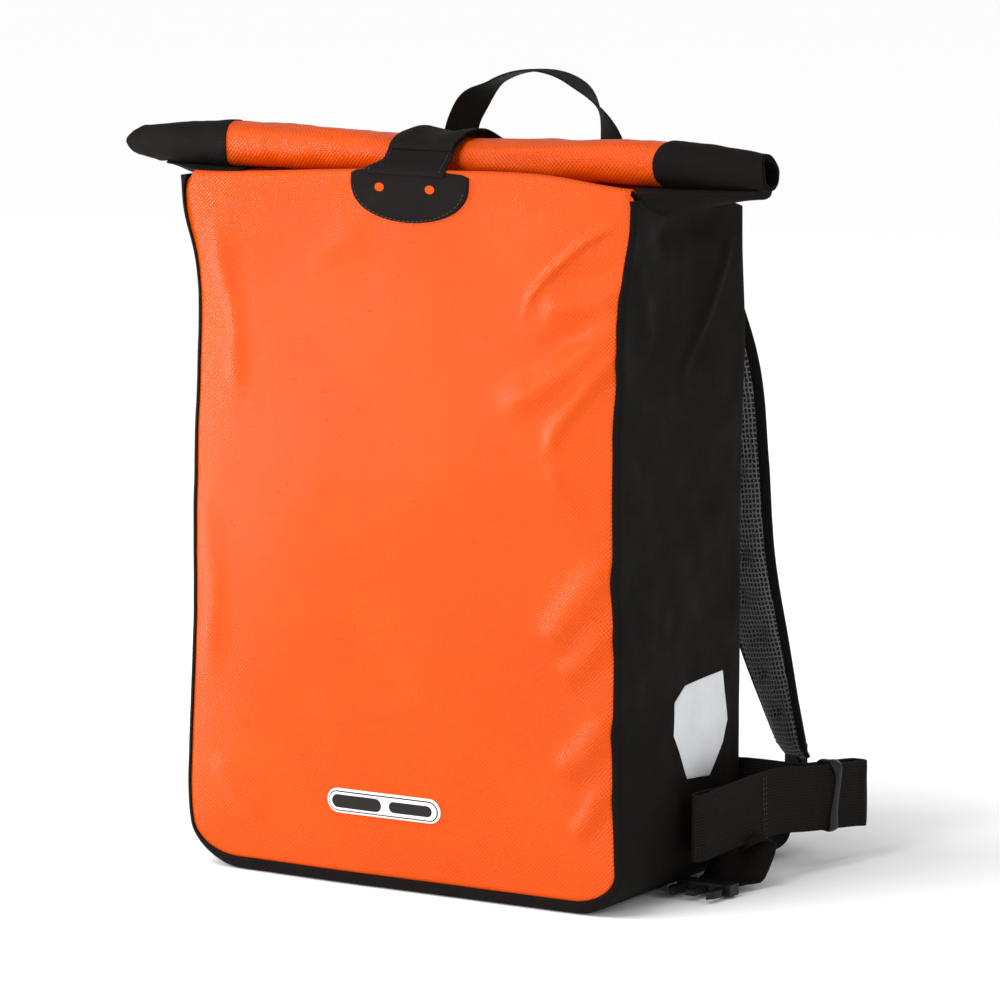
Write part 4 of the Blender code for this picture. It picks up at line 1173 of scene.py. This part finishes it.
def pad_by_cloth(name, low, high, thick, node):
    """A foam pad under mesh: a closed block, swollen by a cloth simulation, then flattened against the back."""
    x0, z0, x1, z1 = *low, *high
    nx, nz = 23, 72
    verts, faces = [], []
    index = {}

    def add(i, k, face):
        u, v = i / (nx - 1), k / (nz - 1)
        x, z = x0 + (x1 - x0) * u, z0 + (z1 - z0) * v
        ex = min(u, 1 - u) * abs(x1 - x0)
        ez = min(v, 1 - v) * (z1 - z0)
        corner = 0.018
        if ex < corner and ez < corner:
            reach = math.hypot(corner - ex, corner - ez)
            if reach > corner:
                cx = x0 + math.copysign(corner, x1 - x0) if u < 0.5 else x1 - math.copysign(corner, x1 - x0)
                cz = z0 + corner if v < 0.5 else z1 - corner
                x, z = cx + (x - cx) * corner / reach, cz + (z - cz) * corner / reach
        rim = min(1.0, min(ex, ez) / 0.008)
        y = BACK_Y + 0.0008 + (thick * (0.25 + 0.55 * rim**0.5) if face else 0.0)
        key = (i, k, face)
        index[key] = len(verts)
        verts.append((x, y, z))

    for face in (0, 1):
        for k in range(nz):
            for i in range(nx):
                add(i, k, face)
    for k in range(nz - 1):
        for i in range(nx - 1):
            a, b, c, d = ((i, k), (i + 1, k), (i + 1, k + 1), (i, k + 1))
            faces.append(tuple(index[(*p, 1)] for p in (a, d, c, b)))
            faces.append(tuple(index[(*p, 0)] for p in (a, b, c, d)))
    rim = [(i, 0) for i in range(nx)] + [(nx - 1, k) for k in range(1, nz)]
    rim += [(i, nz - 1) for i in range(nx - 2, -1, -1)] + [(0, k) for k in range(nz - 2, 0, -1)]
    for a, b in zip(rim, rim[1:] + rim[:1]):
        faces.append((index[(*a, 1)], index[(*b, 1)], index[(*b, 0)], index[(*a, 0)]))
    if (x1 - x0) < 0:
        faces = [f[::-1] for f in faces]
    obj = finish_mesh(name, verts, faces, None, MESH_SOLID)
    swell(obj, pressure=2.5, frames=14, cap=0.004, fixed=lambda p: p[1] < BACK_Y + 0.0010)
    co = np.array([v.co for v in obj.data.vertices])
    # Moulded air channels cross the pad.
    for channel in np.linspace(z0 + 0.055, z1 - 0.055, 4):
        away = co[:, 2] - channel - 0.10 * np.abs(co[:, 0] - (x0 + x1) / 2)
        co[:, 1] -= 0.0045 * bell(away / 0.0045) * (co[:, 1] > BACK_Y + 0.004)
    co[:, 1] = np.clip(co[:, 1], BACK_Y + 0.0006, BACK_Y + thick + 0.004)
    obj.data.vertices.foreach_set("co", co.ravel())
    obj.data.update()
    finer = obj.modifiers.new("finer", "SUBSURF")
    finer.levels = finer.render_levels = 1
    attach(obj, "bag")
    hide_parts(node)


def swell(obj, pressure, frames, cap, fixed):
    """Blender's cloth, with pressure inside and no gravity; a point moves at most cap."""
    start = np.array([v.co for v in obj.data.vertices])
    group = obj.vertex_groups.new(name="held")
    group.add([k for k, p in enumerate(start) if fixed(p)], 1.0, "REPLACE")
    cloth = obj.modifiers.new("cloth", "CLOTH")
    s = cloth.settings
    s.use_pressure = True
    s.uniform_pressure_force = pressure
    s.vertex_group_mass = "held"
    s.effector_weights.gravity = 0
    s.quality = 5
    s.tension_stiffness = s.compression_stiffness = 25
    s.bending_stiffness = 1.5
    cloth.point_cache.frame_start, cloth.point_cache.frame_end = 1, frames
    scene = bpy.context.scene
    for f in range(1, frames + 1):
        scene.frame_set(f)
    evaluated = obj.evaluated_get(bpy.context.evaluated_depsgraph_get())
    moved = np.array([v.co for v in evaluated.data.vertices])
    obj.modifiers.remove(cloth)
    obj.vertex_groups.remove(group)
    scene.frame_set(1)
    shift = moved - start
    size = np.maximum(np.linalg.norm(shift, axis=1, keepdims=True), 1e-9)
    moved = start + shift * np.minimum(1, cap / size)
    obj.data.vertices.foreach_set("co", moved.ravel())
    obj.data.update()


for side_label, side_sign in SIDES:
    low, high = (0.031 * side_sign, 0.102), (0.117 * side_sign, 0.383)
    pad_by_cloth(f"back_cushion_{side_label}", low, high, 0.0165, f"back_pad_{side_label}")

PAD_ROUTE = [
    (0.0850, 0.1140, 0.4590),
    (0.0853, 0.1190, 0.4710),
    (0.0870, 0.1300, 0.4765),
    (0.0920, 0.1440, 0.4670),
    (0.1030, 0.1560, 0.4350),
    (0.1190, 0.1680, 0.3700),
    (0.1285, 0.1690, 0.3000),
    (0.1370, 0.1710, 0.2300),
    (0.1490, 0.1850, 0.1550),
    (0.1650, 0.1960, 0.0860),
    (0.1708, 0.1999, 0.0700),
]
PAD_WIDTHS = [0.054, 0.060, 0.066, 0.068, 0.068, 0.066, 0.062, 0.056, 0.050, 0.044, 0.041]


def shoulder_frames(s, count):
    route = curve([(x * s, y, z) for x, y, z in PAD_ROUTE], count)
    t = np.linspace(0, 1, count)
    twist = -0.30 * t - 0.45 * np.clip((t - 0.75) / 0.25, 0, 1) ** 2
    across = np.stack([np.full(count, float(s)), twist, np.zeros(count)], axis=1)
    widths = np.interp(np.linspace(0, 10, count), range(11), PAD_WIDTHS)
    tangent, side, normal = frames_along(route, across)
    # The normal that points at the bag.
    return route, side, normal * s, widths


def build_shoulder(name, s):
    count, columns = 190, 34
    route, side, inward, widths = shoulder_frames(s, count)
    body = f"shoulder_strap_{name}"
    ends = np.minimum(np.arange(count), np.arange(count)[::-1]) / 7.0
    squeeze = smooth(ends)
    us = np.linspace(-1, 1, columns)
    distance = np.concatenate([[0], np.cumsum(np.linalg.norm(np.diff(route, axis=0), axis=1))])
    tufts = [(d, 0.20 if k % 2 else -0.12) for k, d in enumerate(np.arange(0.075, distance[-1] - 0.02, 0.031))]

    def face(height, sign, dimple):
        rows = []
        for k in range(count):
            half = widths[k] / 2 - 0.001
            lift = height * (1 - np.abs(us) ** 3.5) * (0.35 + 0.65 * squeeze[k])
            for d, u0 in tufts if dimple else ():
                lift = lift - dimple * np.exp(-(((distance[k] - d) / 0.0065) ** 2) - ((us - u0) * half / 0.0065) ** 2)
            point = route[k] + (us * half)[:, None] * side[k]
            rows.append(point + (sign * lift + 0.0004 * sign)[:, None] * inward[k])
        return np.array(rows)

    outer = face(0.0075, -1, 0.0)
    inner = face(0.0052, 1, 0.0042)
    # Each ring: the outer face, one edge, a flat face under the liner, and the other edge.
    middle = route[:, None, :]
    reach = (side * (widths[:, None] / 2 - 0.001))[:, None, :]
    rings = np.concatenate([outer, middle + reach, middle + us[None, ::-1, None] * reach, middle - reach], axis=1)
    ties = sewn("coated_black", f"shoulder_pad_{name}", body=body)
    foam = tube(f"strap_foam_{name}", rings if s < 0 else rings[:, ::-1], CLOTH, **ties)
    inner = inner[5:]
    ties = sewn("spacer_mesh", f"shoulder_mesh_{name}", body=body)
    shell(f"strap_mesh_{name}", inner if s > 0 else inner[:, ::-1], 0.0012, MESH_UV, **ties)
    for edge, e in (("outer", 1), ("inner", -1)):
        wide = 0.0125 if edge == "outer" else 0.0085
        turns = np.linspace(0, 2 * math.pi, 16, endpoint=False)
        section = np.array([(math.cos(a) ** 3 * 0.35 + math.cos(a) * 0.65, math.sin(a)) for a in turns])
        rings = []
        for k in range(count):
            half = widths[k] / 2
            middle = route[k] + side[k] * e * (half - wide / 2 + 0.0015) + inward[k] * -0.0006
            high = 0.0030 + 0.0012 * squeeze[k]
            rings.append(middle + (section[:, :1] * wide / 2) * side[k] + (section[:, 1:] * high) * inward[k])
        rings = facing_out(np.array(rings), route[1] - route[0])
        tube(f"strap_binding_{edge}_{name}", rings, WEBBING, **sewn("webbing", body=body))
        aside = e * (widths[4:-4, None] / 2 - wide + 0.003)
        line = route[4:-4] + side[4:-4] * aside + inward[4:-4] * 0.0048
        stitches(f"binding_stitching_{edge}_{name}", line, inward[4:-4], body, "webbing")
    places = [(0.0840, 0.1015, 0.4030), (0.0843, 0.1022, 0.4180), (0.0846, 0.1042, 0.4380), (0.0850, 0.1122, 0.4570)]
    root = curve([(x * s, y, z) for x, y, z in places], 40)
    ties = sewn("coated_black", f"shoulder_root_{name}")
    strap(f"strap_root_{name}", root, (1, 0, 0), 0.054, 0.0062, CLOTH, columns=20, **ties)
    inside, outside, low, high = 0.062 * s, 0.106 * s, (0.1052, 0.4060), (0.1066, 0.4220)
    box = [(inside, *low), (outside, *low), (outside, *high), (inside, *high), (inside, *low)]
    stitches(f"root_stitching_{name}", dense(box, 24), (0, 1, -0.1), "bag", "coated_black")


LOWER_WEB = [
    # a point, and the direction across the webbing there
    ((0.1520, 0.1050, 0.0135), (1.00, 0.00)),
    ((0.1525, 0.1180, 0.0130), (1.00, 0.00)),
    ((0.1570, 0.1380, 0.0085), (0.95, -0.30)),
    ((0.1640, 0.1560, 0.0070), (0.90, -0.40)),
    ((0.1700, 0.1690, 0.0120), (0.85, -0.50)),
    ((0.1710, 0.1800, 0.0270), (0.80, -0.60)),
    ((0.1690, 0.1900, 0.0470), (0.80, -0.60)),
    ((0.1674, 0.1963, 0.0640), (0.80, -0.60)),
    ((0.1677, 0.1967, 0.0720), (0.80, -0.60)),
    ((0.1694, 0.1990, 0.0751), (0.80, -0.60)),
    ((0.1712, 0.2014, 0.0720), (0.80, -0.60)),
    ((0.1716, 0.2020, 0.0640), (0.80, -0.60)),
    ((0.1730, 0.2038, 0.0400), (0.80, -0.60)),
    ((0.1751, 0.2066, 0.0230), (0.80, -0.60)),
]


def build_lower_web(name, s):
    rows = [(p[0] * s, p[1], p[2], w[0] * s, w[1], 0.0) for p, w in LOWER_WEB]
    route = curve(rows, 170)
    ties = sewn("webbing", f"lower_web_{name}", body=f"shoulder_strap_{name}")
    strap(f"lower_webbing_{name}", route[:, :3], route[:, 3:6], 0.0248, 0.0015, WEBBING, columns=14, **ties)
    refinish(f"ladder_lock_{name}", PLASTIC, 0.0005)
    run = [(0.152 * s, BACK_Y + 0.0021, z) for z in np.linspace(0.0042, 0.0203, 14)]
    ties = sewn("coated_black", f"lower_anchor_{name}")
    strap(f"lower_anchor_cloth_{name}", run, (1, 0, 0), 0.031, 0.0026, CLOTH, columns=16, **ties)


def build_yoke():
    outline = []
    for cx, cz, a0 in ((0.108, 0.440, 0), (-0.108, 0.440, 90), (-0.108, 0.410, 180), (0.108, 0.410, 270)):
        for a in np.linspace(a0, a0 + 90, 7):
            outline.append((cx + 0.012 * math.cos(math.radians(a)), cz + 0.012 * math.sin(math.radians(a))))

    def place(x, z):
        return np.array((x, BACK_Y + 0.0004, z)), np.array((0.0, 1.0, 0.0))

    plate("yoke", outline, place, CLOTH, 0.0026, **sewn("coated_black", "shoulder_yoke"))
    line = [(x * 0.965, BACK_Y + 0.0031, 0.425 + (z - 0.425) * 0.86) for x, z in [*outline, outline[0]]]
    stitches("yoke_stitching", dense(line, 12), (0, 1, 0), "bag", "coated_black")


build_yoke()
for side_label, side_sign in SIDES:
    build_shoulder(side_label, side_sign)
    build_lower_web(side_label, side_sign)

# ---------------------------------------------------------------- waist belt

BELT_Z = 0.062
BELT_RUN = [
    (0.1730, 0.0992, 0.0620),
    (0.1850, 0.1012, 0.0622),
    (0.2000, 0.1070, 0.0610),
    (0.2085, 0.1140, 0.0590),
    (0.2133, 0.1231, 0.0572),
    (0.2187, 0.1485, 0.0550),
    (0.2241, 0.1739, 0.0535),
    (0.2264, 0.1847, 0.0522),
    (0.2332, 0.1891, 0.0515),
    (0.2377, 0.1823, 0.0520),
    (0.2354, 0.1715, 0.0532),
    (0.2300, 0.1461, 0.0550),
    (0.2246, 0.1207, 0.0570),
    (0.2170, 0.0850, 0.0605),
    (0.2125, 0.0500, 0.0598),
    (0.2085, 0.0140, 0.0572),
    (0.2055, -0.0060, 0.0552),
    (0.2010, -0.0110, 0.0548),
    (0.1970, -0.0050, 0.0548),
    (0.1980, 0.0130, 0.0546),
]
BELT_TAIL = [
    # a point, the direction across the belt there, and its width
    ((0.1995, 0.0300, 0.0540), (0.00, 0.00, 1.00), 0.050),
    ((0.2020, 0.0480, 0.0530), (-0.05, 0.00, 1.00), 0.050),
    ((0.2045, 0.0600, 0.0485), (-0.35, 0.04, 0.93), 0.050),
    ((0.2040, 0.0650, 0.0380), (-0.78, 0.06, 0.60), 0.050),
    ((0.2005, 0.0635, 0.0240), (-0.97, 0.06, 0.22), 0.050),
    ((0.1975, 0.0590, 0.0115), (-1.00, 0.03, 0.04), 0.050),
    ((0.1965, 0.0530, 0.0060), (-1.00, 0.00, 0.00), 0.049),
    ((0.1965, 0.0460, 0.0056), (-1.00, 0.00, 0.00), 0.046),
    ((0.1965, 0.0380, 0.0060), (-1.00, 0.00, 0.00), 0.040),
    ((0.1965, 0.0252, 0.0060), (-1.00, 0.00, 0.00), 0.034),
]


def build_belt(name, s):
    rows = [(x * s, y, z, 0, 0, 1, 0.050) for x, y, z in BELT_RUN]
    rows += [(p[0] * s, p[1], p[2], w[0] * s, w[1], w[2], wide) for p, w, wide in BELT_TAIL]
    fine = curve(rows, 460)
    body = f"waist_belt_{name}"
    ties = sewn("webbing", f"waist_belt_{name}", body=body)
    wide = fine[:, 6] - 0.0005
    strap(f"belt_{name}", fine[:, :3], fine[:, 3:6], wide, 0.0018, BELT_WEB, columns=26, wobble=0.0008, **ties)
    # A sewn joint across the belt's outer run.
    k = int(np.argmin(np.abs(fine[:, 1] - 0.0700) + (fine[:, 2] < 0.055) * 9))
    tangent, side, normal = frames_along(fine[:, :3], fine[:, 3:6])
    for shift in (0, 3):
        p, n, w = fine[k + shift, :3], normal[k + shift], side[k + shift]
        out = n if n[0] * s > 0 else -n
        line = np.array([p + w * t + out * 0.0012 for t in np.linspace(-0.0235, 0.0235, 30)])
        stitches(f"belt_stitching_{name}_{shift}", line, out, body, "webbing")
    webbing_run = [(x * s, BACK_Y + 0.0016, BELT_Z) for x in np.linspace(0.105, 0.1725, 24)]
    ties = sewn("webbing", f"belt_anchor_{name}")
    strap(f"belt_root_{name}", webbing_run, (0, 0, 1), 0.0495, 0.0017, BELT_WEB, columns=22, **ties)
    x0, x1, z0, z1, y = 0.109 * s, 0.150 * s, BELT_Z - 0.021, BELT_Z + 0.021, BACK_Y + 0.0027
    box = [(x0, y, z0), (x1, y, z0), (x1, y, z1), (x0, y, z1), (x0, y, z0), (x1, y, z1)]
    stitches(f"belt_root_stitching_{name}", dense(box, 24), (0, 1, 0), "bag", "webbing")
    build_keeper(name, s)


def build_keeper(name, s):
    """A moulded loop round both runs of the belt, with a bulb at its top and a gently waved front."""
    centre = np.array((0.22435 * s, 0.1473, 0.0550))
    along = np.array((0.208 * s, 0.978, 0.0))
    along /= np.linalg.norm(along)
    out = np.array((along[1] * s, -along[0] * s, 0.0))
    up = np.array((0.0, 0.0, 1.0))
    loop = []
    for a in np.linspace(0, 2 * math.pi, 112, endpoint=False):
        c, d = math.cos(a), math.sin(a)
        aside = out * 0.0094 * math.copysign(abs(c) ** 0.45, c)
        loop.append(centre + aside + up * 0.0263 * math.copysign(abs(d) ** 0.28, d))
    loop = np.array(loop)
    rings = []
    for k in range(len(loop)):
        p = loop[k]
        tangent = loop[(k + 1) % len(loop)] - loop[k - 1]
        tangent /= np.linalg.norm(tangent)
        n = np.cross(tangent, along)
        n /= np.linalg.norm(n)
        high = (p - centre) @ up
        outside = float(smooth(((p - centre) @ out) / 0.006))
        bulb = math.exp(-(((high - 0.0235) / 0.0060) ** 2)) * outside
        section = [(math.cos(a), math.sin(a)) for a in np.linspace(0, 2 * math.pi, 14, endpoint=False)]
        wide = 0.0030 + 0.0022 * bulb + 0.0018 * float(smooth(-high / 0.024)) * outside
        thick = 0.0009 + 0.0012 * bulb
        sway = 0.0024 * math.sin(high * 105) * outside
        rings.append([p + along * (c * wide + sway) + n * d * thick for c, d in section])
    faces = quads(len(rings), len(rings[0]), around=True, closed=True)
    ties = sewn("webbing", f"belt_keeper_{name}", body=f"belt_keeper_{name}")
    finish_mesh(f"keeper_{name}", np.concatenate(rings), faces, None, PLASTIC, **ties)


for side_label, side_sign in SIDES:
    build_belt(side_label, side_sign)

# ---------------------------------------------------------------- fittings kept from the CAD

for node, bevel in (
    ("waist_buckle_plug", 0.0009),
    ("waist_buckle_socket", 0.0011),
    ("waist_prong_outer", 0.0007),
    ("waist_prong_inner", 0.0007),
):
    refinish(node, PLASTIC, bevel)
for node in ("back_stiffener", "lip_stiffener_front", "lip_stiffener_back"):
    refinish(node, SHEET)

# ---------------------------------------------------------------- reflectors and badge


def build_reflector(name, s):
    corners = [
        (0.0045, 0.1562), (0.0640, 0.1585), (0.0735, 0.1200), (0.0665, 0.1045),
        (0.0430, 0.0834), (0.0060, 0.0872), (-0.0175, 0.1228), (-0.0135, 0.1465),
    ]
    outline = []
    for a, b in zip(corners, corners[1:] + corners[:1]):
        for t in np.linspace(0, 1, 8, endpoint=False):
            outline.append((a[0] + (b[0] - a[0]) * t, a[1] + (b[1] - a[1]) * t))
    strip = bpy.data.objects["side_strip"]

    def place(y, z):
        hit, at, normal, _ = strip.ray_cast(Vector((s * 0.25, y, z)), Vector((-s, 0, 0)))
        at = np.array(at) if hit else np.array((s * HALF_WIDTH, y, z))
        return at + np.array((s * 0.00025, 0, 0)), np.array((s * 1.0, 0, 0))

    ties = sewn("reflective", f"side_reflector_{name}")
    plate(f"reflector_{name}", outline if s < 0 else outline[::-1], place, FILM, 0.0005, **ties)


for side_label, side_sign in SIDES:
    build_reflector(side_label, side_sign)


def pill(half_length, half_height, count=16):
    outline = []
    for c, a0 in ((half_length - half_height, -90), (-(half_length - half_height), 90)):
        for a in np.linspace(a0, a0 + 180, count):
            outline.append((c + half_height * math.cos(math.radians(a)), half_height * math.sin(math.radians(a))))
    return outline


BADGE_CENTRE = (-0.008, 0.0655)
BADGE_LAYERS = [
    # name, half length, half height, aside, lift, thickness, material, slot and node
    ("plate", 0.0490, 0.0092, 0.0, 0.0, 0.0013, BADGE, ("badge_white", "front_badge")),
    ("line", 0.0474, 0.0077, 0.0, 0.0012, 0.0004, BADGE_DARK, ("plastic",)),
    ("field", 0.0464, 0.0067, 0.0, 0.0015, 0.0004, BADGE, ("badge_white",)),
    ("bar_long", 0.0215, 0.0050, -0.0225, 0.0018, 0.0004, BADGE_DARK, ("plastic",)),
    ("bar_short", 0.0185, 0.0042, 0.0240, 0.0018, 0.0004, BADGE_DARK, ("plastic",)),
]


def build_badge():
    """A pill-shaped moulded plate with a dark inner line and two plain bars: no lettering."""
    for name, half_length, half_height, aside, lift, thick, material, ties in BADGE_LAYERS:

        def place(x, z, lift=lift):
            at, normal = on_front(x, z)
            return at + normal * lift, normal

        outline = [
            (x + BADGE_CENTRE[0] + aside, z + BADGE_CENTRE[1]) for x, z in pill(half_length, half_height)
        ]
        plate(f"badge_{name}", outline, place, material, thick, **sewn(*ties))


build_badge()
